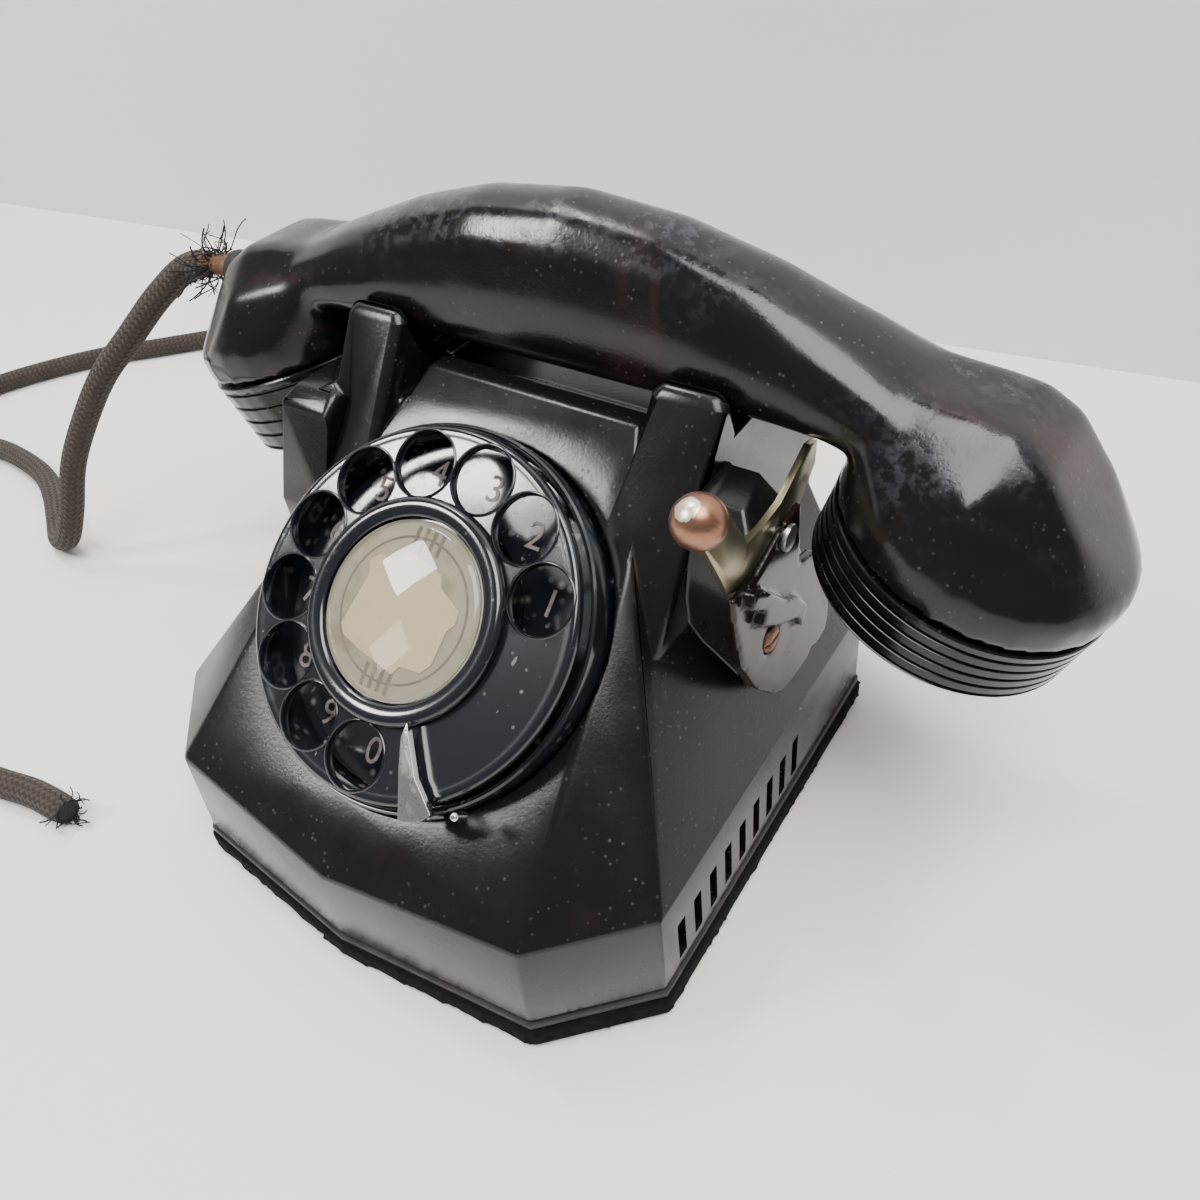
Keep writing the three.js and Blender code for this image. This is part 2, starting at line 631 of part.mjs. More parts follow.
// ---------------------------------------------------------------- hand lever on the right cheek
const leverInX = leverX - leverThick / 2;
const leverOutX = leverX + leverThick / 2;
const bracketInX = leverOutX + gap;
const leverOutline = [              // [y, z]
  [-12.2, 84.6], [-8.2, 82.2], [-4.4, 79.4], [3, 79], [12, 82], [19, 85.6], [24, 90.4], [24, 95.8], [20.6, 96.6],
  [14.6, 93.8], [8.5, 90.9], [1, 90.6], [-5.3, 91.2], [-9.6, 98], [-13.6, 104.2], [-20, 106.4], [-21.6, 101.6],
];
const bracketOutline = [            // [y, z]
  [-13.6, 84.4], [-13.4, 79.4], [-10.8, 66], [-4.4, 54.5], [2, 47.4], [6.4, 44.2], [12, 42.8], [20, 42.8],
  [21.6, 44.4], [24.4, 42.8], [29.6, 43.6], [31, 49.5], [28, 59.5], [22.5, 70.4], [liftClearY + 2.8, 73],
  [liftClearY + 2.8, 88], [6, 86.6], [-4, 83.2],
];
const pivotY = 7.4;
const pivotZ = 84.6;
const pivotRadius = 1.5;
const screwY = 1.3;
const screwZ = 63.6;
const screwHeadRadius = 3;
const bracketLean = (bracketFootX - bracketTopX) / 35;
const bracketFaceX = (z) => bracketFootX - bracketLean * (z - 45);
// everything outboard of the bracket's leaning face, moved out by `proud`
function beyondFace(proud) {
  const low = bracketFaceX(30) + proud;
  const high = bracketFaceX(110) + proud;
  return hull([
    [low, -40, 30], [low, 60, 30], [high, -40, 110], [high, 60, 110],
    [low + 20, -40, 30], [low + 20, 60, 30], [low + 20, -40, 110], [low + 20, 60, 110],
  ]);
}
const acrossX = (manifold, y, z) => manifold.rotate([0, 90, 0]).translate([0, y, z]);
const ribs = [
  [[-9.4, 84], [-4, 80.5], [4, 72.5], [10, 68.6], [14.4, 63.6], [11.4, 59.6], [9.4, 63.4], [1.5, 68], [-7, 74],
    [-5, 76.8], [-10.8, 81]],
].map((outline) => cut(sidePlate(outline, bracketInX, bracketFootX + ribProud), beyondFace(ribProud)));
const bracketPlate = cut(sidePlate(bracketOutline, bracketInX, bracketFootX + 1), beyondFace(0));
const screwBoss = acrossX(disc(5, cheekOutX + gap, bracketInX + 0.2, 16), screwY, screwZ);
const screwBore = acrossX(disc(screwHeadRadius + 0.3, bracketInX - 5, bracketFootX + 6, 16), screwY, screwZ);
const pivotBore = acrossX(disc(pivotRadius + gap, leverInX - 3, bracketFootX + 6, 12), pivotY, pivotZ);
part('lever_bracket', cut(add(bracketPlate, screwBoss, ...ribs), screwBore, pivotBore), 0x1c0f0d, 0.35);
const screwTopX = bracketFaceX(screwZ) + 0.6;
part('bracket_screw', cut(
  acrossX(turned([
    [0, cheekOutX + gap], [screwHeadRadius, cheekOutX + gap], [screwHeadRadius, screwTopX - 0.6],
    [screwHeadRadius - 0.8, screwTopX], [0, screwTopX],
  ], 16), screwY, screwZ),
  box(screwTopX - 0.8, screwTopX + 1, screwY - 4, screwY + 4, screwZ - 0.5, screwZ + 0.5),
), 0x6b3a2c, 0.5, 0.5);
const knobAt = [leverX, -22.2, 107.2];
const leverStrip = cut(sidePlate(leverOutline, leverInX, leverOutX), pivotBore);
const knobSphere = (radius) => solid(new THREE.SphereGeometry(radius, 14, 9)).translate(knobAt);
part('side_lever', cut(leverStrip, knobSphere(knobRadius + gap)), brass, 0.35, 0.9);
part('lever_knob', knobSphere(knobRadius), 0x9a6a4a, 0.3, 0.4);
const pinHeadX = bracketFaceX(pivotZ) + gap;
part('lever_pivot', acrossX(turned([
  [0, cheekOutX + gap], [pivotRadius, cheekOutX + gap], [pivotRadius, pinHeadX], [2.8, pinHeadX],
  [2.8, pinHeadX + 1], [0, pinHeadX + 1],
], 14), pivotY, pivotZ), steel, 0.4, 0.9);

// ---------------------------------------------------------------- handset
// rounded facet section at one station, looking along +X
function handleSection(x, bottom, top, half) {
  const h = top - bottom;
  const right = [
    [0.62, 0], [0.9, 0.06], [1, 0.2], [0.98, 0.46], [0.8, 0.76], [0.5, 0.94], [0.18, 1],
  ].map(([a, b]) => [x, handsetY + a * half, bottom + b * h]);
  const left = right.map(([a, b, c]) => [a, 2 * handsetY - b, c]).reverse();
  return [...right, ...left];
}
const capMatrix = (side) => {
  const m = new THREE.Matrix4().makeRotationY(side * capTilt * deg);
  m.setPosition(handsetX + side * capReach, handsetY, capZ);
  return m;
};
function capPoint(side, radius, angle, z) {
  const v = new THREE.Vector3(radius * Math.cos(angle * deg), radius * Math.sin(angle * deg), z);
  v.applyMatrix4(capMatrix(side));
  return [v.x, v.y, v.z];
}
function housing(side) {
  const at = (reach, dy, z) => [handsetX + side * reach, handsetY + dy, z];
  const points = [];
  for (const dy of [-1, 1]) {
    points.push(at(66, dy * 13, 99), at(67, dy * 15, 107), at(72, dy * 9, 112), at(84, dy * 9, 111));
    points.push(at(92, dy * 10, 109.4), at(98.4, dy * 12, 104.6), at(105.4, dy * 13, 95), at(88, dy * 22, 101));
  }
  for (let a = 0; a < 360; a += 15) {
    points.push(capPoint(side, capRadius, a, gap));
    points.push(capPoint(side, capRadius, a, housingRim));
  }
  return hull(points);
}
const half = handleStations.map(([s, b, t, w]) => handleSection(handsetX + s, b, t, w));
const otherHalf = handleStations.slice(1).map(([s, b, t, w]) => handleSection(handsetX - s, b, t, w)).reverse();
const handle = loft([...otherHalf, ...half]);
function pocket(side) {
  return place(disc(capRadius - 6, -6, 12, 28), capMatrix(side));
}
const reliefLength = 10.5;
const reliefSeat = 5;
const reliefHead = 5.7;
const relief = { x: handsetX - 101, y: handsetY, z: 95.6, tilt: -89 };
const reliefPlace = (m) => m.rotate([0, relief.tilt, 0]).translate([relief.x, relief.y, relief.z]);
part('handset', cut(
  add(handle, housing(1), housing(-1)), pocket(1), pocket(-1),
  reliefPlace(disc(reliefSeat + gap, -3, 6, 16)),
  reliefPlace(disc(reliefHead + gap, 6 - gap, 20, 16)),
), black, 0.35);

// screw-on cap with grip grooves round it; it narrows towards its face by `taper` per millimetre
function cap(side, height, taper, holeRows) {
  const grooveCount = 5;
  const groovePitch = (height - 4.4) / (grooveCount - 1);
  const radiusAt = (z) => capRadius - 0.3 + taper * z;
  const profile = [[0, -height], [radiusAt(-height) - 3.4, -height], [radiusAt(-height), -height + 1.4]];
  for (let i = 0; i < grooveCount; i += 1) {
    const z = -height + 2.2 + i * groovePitch;
    profile.push([radiusAt(z), z - 0.35], [radiusAt(z) - 0.6, z], [radiusAt(z), z + 0.35]);
  }
  const inner = radiusAt(-height) - 3.6;
  profile.push([capRadius, 0], [inner, 0], [inner, -height + capFaceWall], [0, -height + capFaceWall]);
  const holes = [];
  for (const [radius, count] of holeRows) {
    for (let i = 0; i < count; i += 1) {
      const a = (i / count) * Math.PI * 2;
      const hole = disc(1.1, -height - 2, -height + 6, 5);
      holes.push(hole.translate([radius * Math.cos(a), radius * Math.sin(a), 0]));
    }
  }
  return place(cut(turned(profile, 24), ...holes), capMatrix(side));
}
part('receiver_cap', cap(1, receiverCapHeight, 0.03, [[0, 1], [6, 6]]), black, 0.35);
part('transmitter_cap', cap(-1, transmitterCapHeight, capTaper, [[0, 1], [5, 6], [10, 10]]), black, 0.35);
function capsule(side, height, capHeight) {
  const floor = -capHeight + capFaceWall + gap;
  return place(turned([
    [0, floor], [14, floor], [18.6, floor + 3], [18.6, height - 1], [16, height], [0, height],
  ], 20), capMatrix(side));
}
part('receiver_unit', capsule(1, 6, receiverCapHeight), 0x8a8d90, 0.4, 0.7);
part('transmitter_unit', capsule(-1, 4, transmitterCapHeight), 0x8a8d90, 0.4, 0.7);
part('handset_bushing', reliefPlace(turned([
  [cordRadius + gap, 0], [reliefSeat, 0], [reliefSeat, 6], [reliefHead, 6.2], [reliefHead - 0.5, reliefLength],
  [cordRadius + gap, reliefLength], [cordRadius + gap, 0],
], 16)), 0x0d0d0d, 0.6);

// ---------------------------------------------------------------- cords
const bushingOutY = 4.4;
for (const [name, x] of [['line_bushing', lineExitX], ['spare_inlet_bushing', spareInletX]]) {
  part(name, turned([
    [cordRadius + gap, -5], [grommetRadius, -5], [grommetRadius, 1.4], [grommetRadius + 1.6, 1.6],
    [grommetRadius + 1.2, 3.6], [cordRadius + gap, bushingOutY], [cordRadius + gap, -5],
  ], 16).rotate([-90, 0, 0]).translate([x, rearY, exitZ]), 0x0d0d0d, 0.6);
}
const floorRun = cordRadius + 0.25;
const reliefAxis = new THREE.Vector3(Math.sin(relief.tilt * deg), 0, Math.cos(relief.tilt * deg));
const reliefAt = (d) => [relief.x + reliefAxis.x * d, relief.y, relief.z + reliefAxis.z * d];
const onFloor = (points) => points.map(([x, y]) => [x, y, floorRun]);
// from the mouthpiece end down to the table, out to the left and back to its cut end
part('handset_cord', tube([
  reliefAt(1), reliefAt(6), reliefAt(11), reliefAt(17), [-126, 27.6, 94], [-135.6, 22, 86.4],
  [-146, 14, 74.4], [-155.4, 7, 63.4], [-163.6, 0, 49.6], [-169.7, -6.5, 35.5], [-174, -11.5, 20],
  [-179, -14.5, 9], ...onFloor([
    [-188, -13.5], [-199, -7], [-211, 0], [-223, 5.6], [-237, 9], [-260, 10], [-274, 6], [-285, -3],
    [-289, -16], [-284, -30], [-268, -44], [-240, -60], [-200, -76], [-162, -88], [-132, -90], [-111, -86.4],
    [-99, -83.8], [-86, -82.9],
  ]),
], cordRadius, 8, 52), 0x4a3826, 0.9);
// from the rear wall round behind the handset and off to the left, where the rest is coiled
part('line_cord', tube([
  [lineExitX, rearY - 4, exitZ], [lineExitX, rearY + 6, exitZ], [lineExitX - 0.6, rearY + 14, exitZ - 1.4],
  [-27, 102, 9], ...onFloor([
    [-36, 120], [-54, 138], [-84, 152], [-124, 160], [-168, 159], [-206, 149], [-234, 132], [-255, 111.3],
    [-270.5, 94.6], [-287, 77], [-299.5, 57.3], [-307, 40.3], [-309.8, 28.4],
  ]),
], cordRadius, 8, 40), 0x4a3826, 0.9);
part('line_cord_coil', turned([
  [coilTurnRadius - coilBundle / 2, 2], [coilTurnRadius - coilBundle / 2 + 2, 0.2],
  [coilTurnRadius + coilBundle / 2 - 2, 0.2], [coilTurnRadius + coilBundle / 2, 2],
  [coilTurnRadius + coilBundle / 2, coilBundle - 2], [coilTurnRadius + coilBundle / 2 - 2, coilBundle],
  [coilTurnRadius - coilBundle / 2 + 2, coilBundle], [coilTurnRadius - coilBundle / 2, coilBundle - 2],
  [coilTurnRadius - coilBundle / 2, 2],
], 32).translate([coilX, coilY, 0]), 0x4a3826, 0.9);
part('line_connector', hull([
  [-13, -8, 0.3], [13, -8, 0.3], [-13, 8, 0.3], [13, 8, 0.3],
  [-12, -7, 9.5], [12, -7, 9.5], [-12, 7, 9.5], [12, 7, 9.5],
]).translate([coilX, coilY, 0]), 0x241812, 0.45);

export default group;
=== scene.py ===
"""Looks of a 1930s moulded desk telephone with a rotary dial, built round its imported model."""

import math
import random

import bpy
import numpy as np
from mathutils import Matrix, Vector


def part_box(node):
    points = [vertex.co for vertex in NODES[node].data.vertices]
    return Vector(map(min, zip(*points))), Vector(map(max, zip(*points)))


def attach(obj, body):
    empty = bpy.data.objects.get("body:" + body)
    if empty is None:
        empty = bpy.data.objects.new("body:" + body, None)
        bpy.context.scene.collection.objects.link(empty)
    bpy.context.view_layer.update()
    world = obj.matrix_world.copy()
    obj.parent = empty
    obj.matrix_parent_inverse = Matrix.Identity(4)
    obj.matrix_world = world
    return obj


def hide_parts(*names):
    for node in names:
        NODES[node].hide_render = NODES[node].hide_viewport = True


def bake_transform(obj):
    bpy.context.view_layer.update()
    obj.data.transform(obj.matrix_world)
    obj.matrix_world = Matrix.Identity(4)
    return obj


bl_info = {
    "name": "Rotary Desk Telephone",
    "version": (1, 0, 0),
    "blender": (4, 5, 0),
    "location": "View3D > Sidebar > Telephone",
    "description": "Builds the pieces and finishes of a moulded desk telephone",
    "category": "Object",
}

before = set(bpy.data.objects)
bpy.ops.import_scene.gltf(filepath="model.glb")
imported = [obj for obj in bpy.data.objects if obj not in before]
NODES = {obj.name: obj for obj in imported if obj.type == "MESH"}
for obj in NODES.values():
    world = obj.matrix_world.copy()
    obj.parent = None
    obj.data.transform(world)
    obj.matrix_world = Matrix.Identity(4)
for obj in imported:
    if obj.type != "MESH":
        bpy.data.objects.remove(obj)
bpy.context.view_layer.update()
MM = 0.001
TURN = 2 * math.pi

# ---------------------------------------------------------------- the dial's own frame
DIAL_TILT = math.radians(47.9)
DIAL_CENTRE = Vector((0.0, -33.5, 71.0)) * MM
DIAL_NORMAL = Vector((0.0, -math.cos(DIAL_TILT), math.sin(DIAL_TILT)))
DIAL_UP = Vector((0.0, math.sin(DIAL_TILT), math.cos(DIAL_TILT)))
DIAL_FRAME = Matrix.Translation(DIAL_CENTRE) @ Matrix(
    ((1, 0, 0), (0, DIAL_UP.y, DIAL_NORMAL.y), (0, DIAL_UP.z, DIAL_NORMAL.z))
).to_4x4()
HOLE_CIRCLE = 30.0
HOLE_RADIUS = 6.8
HOLE_COUNT = 10
HOLE_STEP = TURN / 13
HOLE_PHASE = math.radians(23.2)

# ---------------------------------------------------------------- the handset's ends
HANDSET_X = 3.5
HANDSET_Y = 29.5
CAP_REACH = 87.4
CAP_Z = 80.6
CAP_TILT = math.radians(18)
CAP_RADIUS = 28.5


def cap_frame(side):
    """Where a cap sits on the handset: side is 1 at the earpiece and -1 at the mouthpiece."""
    place = Vector((HANDSET_X + side * CAP_REACH, HANDSET_Y, CAP_Z)) * MM
    return Matrix.Translation(place) @ Matrix.Rotation(side * CAP_TILT, 4, "Y")


# ---------------------------------------------------------------- sizes and colours a user would change
class TelephoneSizes(bpy.types.PropertyGroup):
    cord_diameter: bpy.props.FloatProperty(
        name="Cord diameter", description="Across the braided cords", default=0.0074, unit="LENGTH"
    )
    case_edge: bpy.props.FloatProperty(
        name="Case edge", description="Rounding of the case's edges", default=0.0009, unit="LENGTH"
    )
    horn_edge: bpy.props.FloatProperty(
        name="Horn edge", description="Rounding of the cradle's horns", default=0.0022, unit="LENGTH"
    )
    small_edge: bpy.props.FloatProperty(
        name="Small edge", description="Rounding of the small metal pieces", default=0.00028, unit="LENGTH"
    )
    handset_voxel: bpy.props.FloatProperty(
        name="Handset grain", description="Mesh size of the rounded handset", default=0.00115, unit="LENGTH"
    )


class TelephoneColours(bpy.types.PropertyGroup):
    moulding: bpy.props.FloatVectorProperty(
        name="Moulding", description="Black phenolic", default=(0.0055, 0.005, 0.0055),
        subtype="COLOR", size=3
    )
    moulding_red: bpy.props.FloatVectorProperty(
        name="Moulding tint", description="Brown showing where it is rubbed",
        default=(0.028, 0.0095, 0.008), subtype="COLOR", size=3
    )
    weathering: bpy.props.FloatVectorProperty(
        name="Weathering", description="Grey-blue crazing", default=(0.05, 0.054, 0.066),
        subtype="COLOR", size=3
    )
    cloth: bpy.props.FloatVectorProperty(
        name="Cord cloth", description="Braided cotton", default=(0.042, 0.027, 0.016),
        subtype="COLOR", size=3
    )
    paper: bpy.props.FloatVectorProperty(
        name="Number card", description="Aged card", default=(0.66, 0.56, 0.40), subtype="COLOR", size=3
    )


def sizes():
    """The sizes a user can change."""
    return bpy.context.scene.telephone_sizes


def colours():
    """The colours a user can change."""
    return bpy.context.scene.telephone_colours


# ---------------------------------------------------------------- mesh helpers
SHADE_ANGLE = 35
WELD = 2e-5
FLAT_ANGLE = math.radians(1.0)
SPIN_WELD = 2e-6


def clear_selection():
    """Leaves edit mode with nothing selected."""
    if bpy.context.object and bpy.context.object.mode != "OBJECT":
        bpy.ops.object.mode_set(mode="OBJECT")
    for obj in list(bpy.context.selected_objects):
        obj.select_set(False)


def make_active(obj):
    """Selects one object alone, ready for an operator."""
    clear_selection()
    obj.select_set(True)
    bpy.context.view_layer.objects.active = obj


def edit(obj):
    """Opens one object in edit mode with all of it selected."""
    make_active(obj)
    bpy.ops.object.mode_set(mode="EDIT")
    bpy.ops.mesh.select_mode(type="VERT")
    bpy.ops.mesh.select_all(action="SELECT")


def leave_edit():
    bpy.ops.object.mode_set(mode="OBJECT")


def apply_modifier(obj, kind, **settings):
    """Adds a modifier with its settings and applies it."""
    make_active(obj)
    modifier = obj.modifiers.new(kind.lower(), kind)
    for key, value in settings.items():
        setattr(modifier, key, value)
    bpy.ops.object.modifier_apply(modifier=modifier.name)
    return obj


def smooth(obj, angle=SHADE_ANGLE):
    """Shades smooth across edges flatter than the angle, in degrees."""
    make_active(obj)
    bpy.ops.object.shade_smooth_by_angle(angle=math.radians(angle))
    return obj


def named(obj, name):
    """Names an object and its mesh alike."""
    obj.name = name
    obj.data.name = name
    return obj


def copy_of(node, name):
    """A joined-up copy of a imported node, ready to be worked on."""
    obj = bpy.data.objects.new(name, NODES[node].data.copy())
    bpy.context.scene.collection.objects.link(obj)
    obj.data.materials.clear()
    make_active(obj)
    if obj.data.has_custom_normals:
        bpy.ops.mesh.customdata_custom_splitnormals_clear()
    edit(obj)
    bpy.ops.mesh.remove_doubles(threshold=WELD)
    bpy.ops.mesh.dissolve_limited(angle_limit=FLAT_ANGLE)
    leave_edit()
    return obj


def round_edges(obj, width, segments=2, angle=25):
    """Rounds every edge sharper than the angle."""
    apply_modifier(
        obj, "BEVEL", width=width, segments=segments, limit_method="ANGLE", angle_limit=math.radians(angle),
        use_clamp_overlap=True, miter_outer="MITER_ARC",
    )
    return smooth(obj)


def soften(obj, voxel, rounds):
    """Rounds a moulded piece all over, as a mould's soft corners do."""
    edit(obj)
    bpy.ops.mesh.quads_convert_to_tris()
    leave_edit()
    apply_modifier(obj, "REMESH", mode="VOXEL", voxel_size=voxel)
    apply_modifier(obj, "SMOOTH", factor=0.5, iterations=rounds)
    make_active(obj)
    bpy.ops.object.shade_smooth()
    return obj


def round_chosen(obj, width, segments, chosen, angle=28):
    """Rounds the sharp edges whose middle passes the test."""
    edit(obj)
    bpy.ops.mesh.select_all(action="DESELECT")
    bpy.ops.mesh.select_mode(type="EDGE")
    bpy.ops.mesh.edges_select_sharp(sharpness=math.radians(angle))
    leave_edit()
    vertices = obj.data.vertices
    for line in obj.data.edges:
        middle = (vertices[line.vertices[0]].co + vertices[line.vertices[1]].co) / 2
        if line.select and not chosen(middle / MM):
            line.select = False
    for vertex in vertices:
        vertex.select = False
    for face in obj.data.polygons:
        face.select = False
    for line in obj.data.edges:
        if line.select:
            vertices[line.vertices[0]].select = True
            vertices[line.vertices[1]].select = True
    bpy.ops.object.mode_set(mode="EDIT")
    bpy.ops.mesh.select_mode(type="EDGE")
    bpy.ops.mesh.bevel(offset=width, segments=segments, profile=0.5, clamp_overlap=False)
    leave_edit()


def turned(name, profile, steps, place=None):
    """Spins a profile of (radius, height) in millimetres round the Z axis."""
    clear_selection()
    bpy.ops.mesh.primitive_plane_add(size=0.001)
    obj = named(bpy.context.object, name)
    edit(obj)
    bpy.ops.mesh.merge(type="CENTER")
    start = Vector((profile[0][0], 0, profile[0][1])) * MM
    bpy.ops.transform.translate(value=start)
    last = start
    for radius, height in profile[1:]:
        point = Vector((radius, 0, height)) * MM
        bpy.ops.mesh.extrude_region_move(TRANSFORM_OT_translate={"value": point - last})
        last = point
    bpy.ops.mesh.select_all(action="SELECT")
    bpy.ops.mesh.spin(steps=steps, angle=TURN, center=(0, 0, 0), axis=(0, 0, 1))
    bpy.ops.mesh.select_all(action="SELECT")
    bpy.ops.mesh.remove_doubles(threshold=SPIN_WELD)
    bpy.ops.mesh.normals_make_consistent(inside=False)
    leave_edit()
    if place is not None:
        obj.data.transform(place)
    return obj


def joined(name, pieces):
    """Joins the pieces into the first one."""
    make_active(pieces[0])
    for piece in pieces[1:]:
        piece.select_set(True)
    bpy.ops.object.join()
    return named(bpy.context.object, name)


def finish_piece(obj, body, material, slot, *replaced):
    """Gives a piece its finish and its body, and hides the nodes that it stands for. The slot is not used.
    """
    obj.data.materials.clear()
    obj.data.materials.append(material)
    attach(obj, body)
    if replaced:
        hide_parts(*replaced)
    return obj


# ---------------------------------------------------------------- shader helpers
class Net:
    """Adds and joins the nodes of one material or group."""

    def __init__(self, tree):
        self.tree = tree

    def add(self, kind, **settings):
        node = self.tree.nodes.new(kind)
        for key, value in settings.items():
            setattr(node, key, value)
        return node

    def put(self, source, socket):
        if isinstance(source, bpy.types.NodeSocket):
            self.tree.links.new(source, socket)
        elif isinstance(source, (tuple, list)) and len(source) == 3 and len(socket.default_value) == 4:
            socket.default_value = (*source, 1.0)
        else:
            socket.default_value = source

    def math(self, operation, first, second=0.0, clamp=False):
        node = self.add("ShaderNodeMath", operation=operation, use_clamp=clamp)
        self.put(first, node.inputs[0])
        self.put(second, node.inputs[1])
        return node.outputs[0]

    def blend(self, mask, first, second):
        node = self.add("ShaderNodeMix", data_type="RGBA")
        self.put(mask, node.inputs[0])
        self.put(first, node.inputs[6])
        self.put(second, node.inputs[7])
        return node.outputs[2]

    def noise(self, place, scale, detail=3.0, rough=0.6, distortion=0.0):
        node = self.add("ShaderNodeTexNoise")
        self.put(place, node.inputs["Vector"])
        self.put(scale, node.inputs["Scale"])
        node.inputs["Detail"].default_value = detail
        node.inputs["Roughness"].default_value = rough
        node.inputs["Distortion"].default_value = distortion
        return node.outputs["Fac"]

    def cells(self, place, scale, feature="F1"):
        node = self.add("ShaderNodeTexVoronoi", feature=feature)
        self.put(place, node.inputs["Vector"])
        self.put(scale, node.inputs["Scale"])
        return node.outputs["Distance"]

    def ramp(self, value, low, high):
        node = self.add("ShaderNodeMapRange")
        self.put(value, node.inputs["Value"])
        self.put(low, node.inputs["From Min"])
        self.put(high, node.inputs["From Max"])
        return node.outputs["Result"]

    def bump(self, height, distance, strength):
        node = self.add("ShaderNodeBump")
        self.put(height, node.inputs["Height"])
        node.inputs["Distance"].default_value = distance
        node.inputs["Strength"].default_value = strength
        return node.outputs["Normal"]

    def place(self):
        return self.add("ShaderNodeTexCoord").outputs["Object"]


def new_group(name, scale, setting, value, result):
    """Starts a group that takes a place, a scale and one more setting, and puts out one result."""
    tree = bpy.data.node_groups.new(name, "ShaderNodeTree")
    tree.interface.new_socket(name="Place", in_out="INPUT", socket_type="NodeSocketVector")
    for label, default in (("Scale", scale), (setting, value)):
        socket = tree.interface.new_socket(name=label, in_out="INPUT", socket_type="NodeSocketFloat")
        socket.default_value = default
    tree.interface.new_socket(name=result, in_out="OUTPUT", socket_type="NodeSocketFloat")
    net = Net(tree)
    return net, net.add("NodeGroupInput").outputs, net.add("NodeGroupOutput").inputs


def make_groups():
    """The patterns that several finishes share."""
    net, given, out = new_group("Fine Grain", 900.0, "Depth", 1.0, "Height")
    fine = net.noise(given["Place"], given["Scale"], 2.0, 0.5)
    broad = net.noise(given["Place"], net.math("MULTIPLY", given["Scale"], 0.22), 3.0)
    height = net.math("ADD", net.math("MULTIPLY", fine, 0.6), net.math("MULTIPLY", broad, 0.4))
    net.put(net.math("MULTIPLY", height, given["Depth"]), out["Height"])

    net, given, out = new_group("Dust", 420.0, "Amount", 0.3, "Mask")
    speck = net.cells(given["Place"], given["Scale"])
    speck = net.ramp(speck, net.math("MULTIPLY", given["Amount"], 0.42), 0.02)
    drift = net.ramp(net.noise(given["Place"], net.math("MULTIPLY", given["Scale"], 0.12), 3.0), 0.42, 0.72)
    net.put(net.math("MULTIPLY", speck, drift, True), out["Mask"])

    net, given, out = new_group("Blotches", 40.0, "Cover", 0.5, "Mask")
    cloud = net.noise(given["Place"], given["Scale"], 4.0, 0.62, 0.6)
    start = net.math("SUBTRACT", 0.78, net.math("MULTIPLY", given["Cover"], 0.5))
    net.put(net.ramp(cloud, start, net.math("ADD", start, 0.22)), out["Mask"])

    net, given, out = new_group("Scratches", 60.0, "Amount", 0.5, "Mask")
    start = net.math("SUBTRACT", 0.76, net.math("MULTIPLY", given["Amount"], 0.09))
    lines = []
    for turn in (0.4, 1.9):
        mapping = net.add("ShaderNodeMapping")
        net.put(given["Place"], mapping.inputs["Vector"])
        mapping.inputs["Rotation"].default_value = (turn, turn * 0.6, turn * 1.7)
        mapping.inputs["Scale"].default_value = (1.0, 0.06, 1.0)
        wave = net.noise(mapping.outputs[0], net.math("MULTIPLY", given["Scale"], 9.0), 2.0, 0.5, 0.5)
        lines.append(net.ramp(wave, start, 0.78))
    broken = net.ramp(net.noise(given["Place"], given["Scale"], 2.0), 0.45, 0.6)
    both = net.math("MAXIMUM", lines[0], lines[1])
    net.put(net.math("MULTIPLY", both, broken, True), out["Mask"])

    net, given, out = new_group("Crazing", 300.0, "Width", 0.08, "Mask")
    wander = net.add("ShaderNodeVectorMath", operation="ADD")
    swirl = net.add("ShaderNodeTexNoise")
    net.put(given["Place"], swirl.inputs["Vector"])
    net.put(net.math("MULTIPLY", given["Scale"], 0.5), swirl.inputs["Scale"])
    shrink = net.add("ShaderNodeVectorMath", operation="SCALE")
    net.put(swirl.outputs["Color"], shrink.inputs[0])
    net.put(net.math("DIVIDE", 1.4, given["Scale"]), shrink.inputs["Scale"])
    net.put(given["Place"], wander.inputs[0])
    net.put(shrink.outputs[0], wander.inputs[1])
    edge = net.cells(wander.outputs[0], given["Scale"], "DISTANCE_TO_EDGE")
    net.put(net.ramp(edge, given["Width"], 0.0), out["Mask"])


def use_group(net, name, place, **values):
    """Places a shared pattern in a material with its own values."""
    node = net.add("ShaderNodeGroup", node_tree=bpy.data.node_groups[name])
    net.put(place, node.inputs["Place"])
    for label, value in values.items():
        node.inputs[label].default_value = value
    return node.outputs[0]


def new_material(name, **fixed):
    """A material whose shader holds the given values, with its net and the shader's sockets."""
    material = bpy.data.materials.new(name)
    material.use_nodes = True
    shader = material.node_tree.nodes["Principled BSDF"]
    for label, value in fixed.items():
        shader.inputs[label.replace("_", " ")].default_value = value
    return material, Net(material.node_tree), shader.inputs


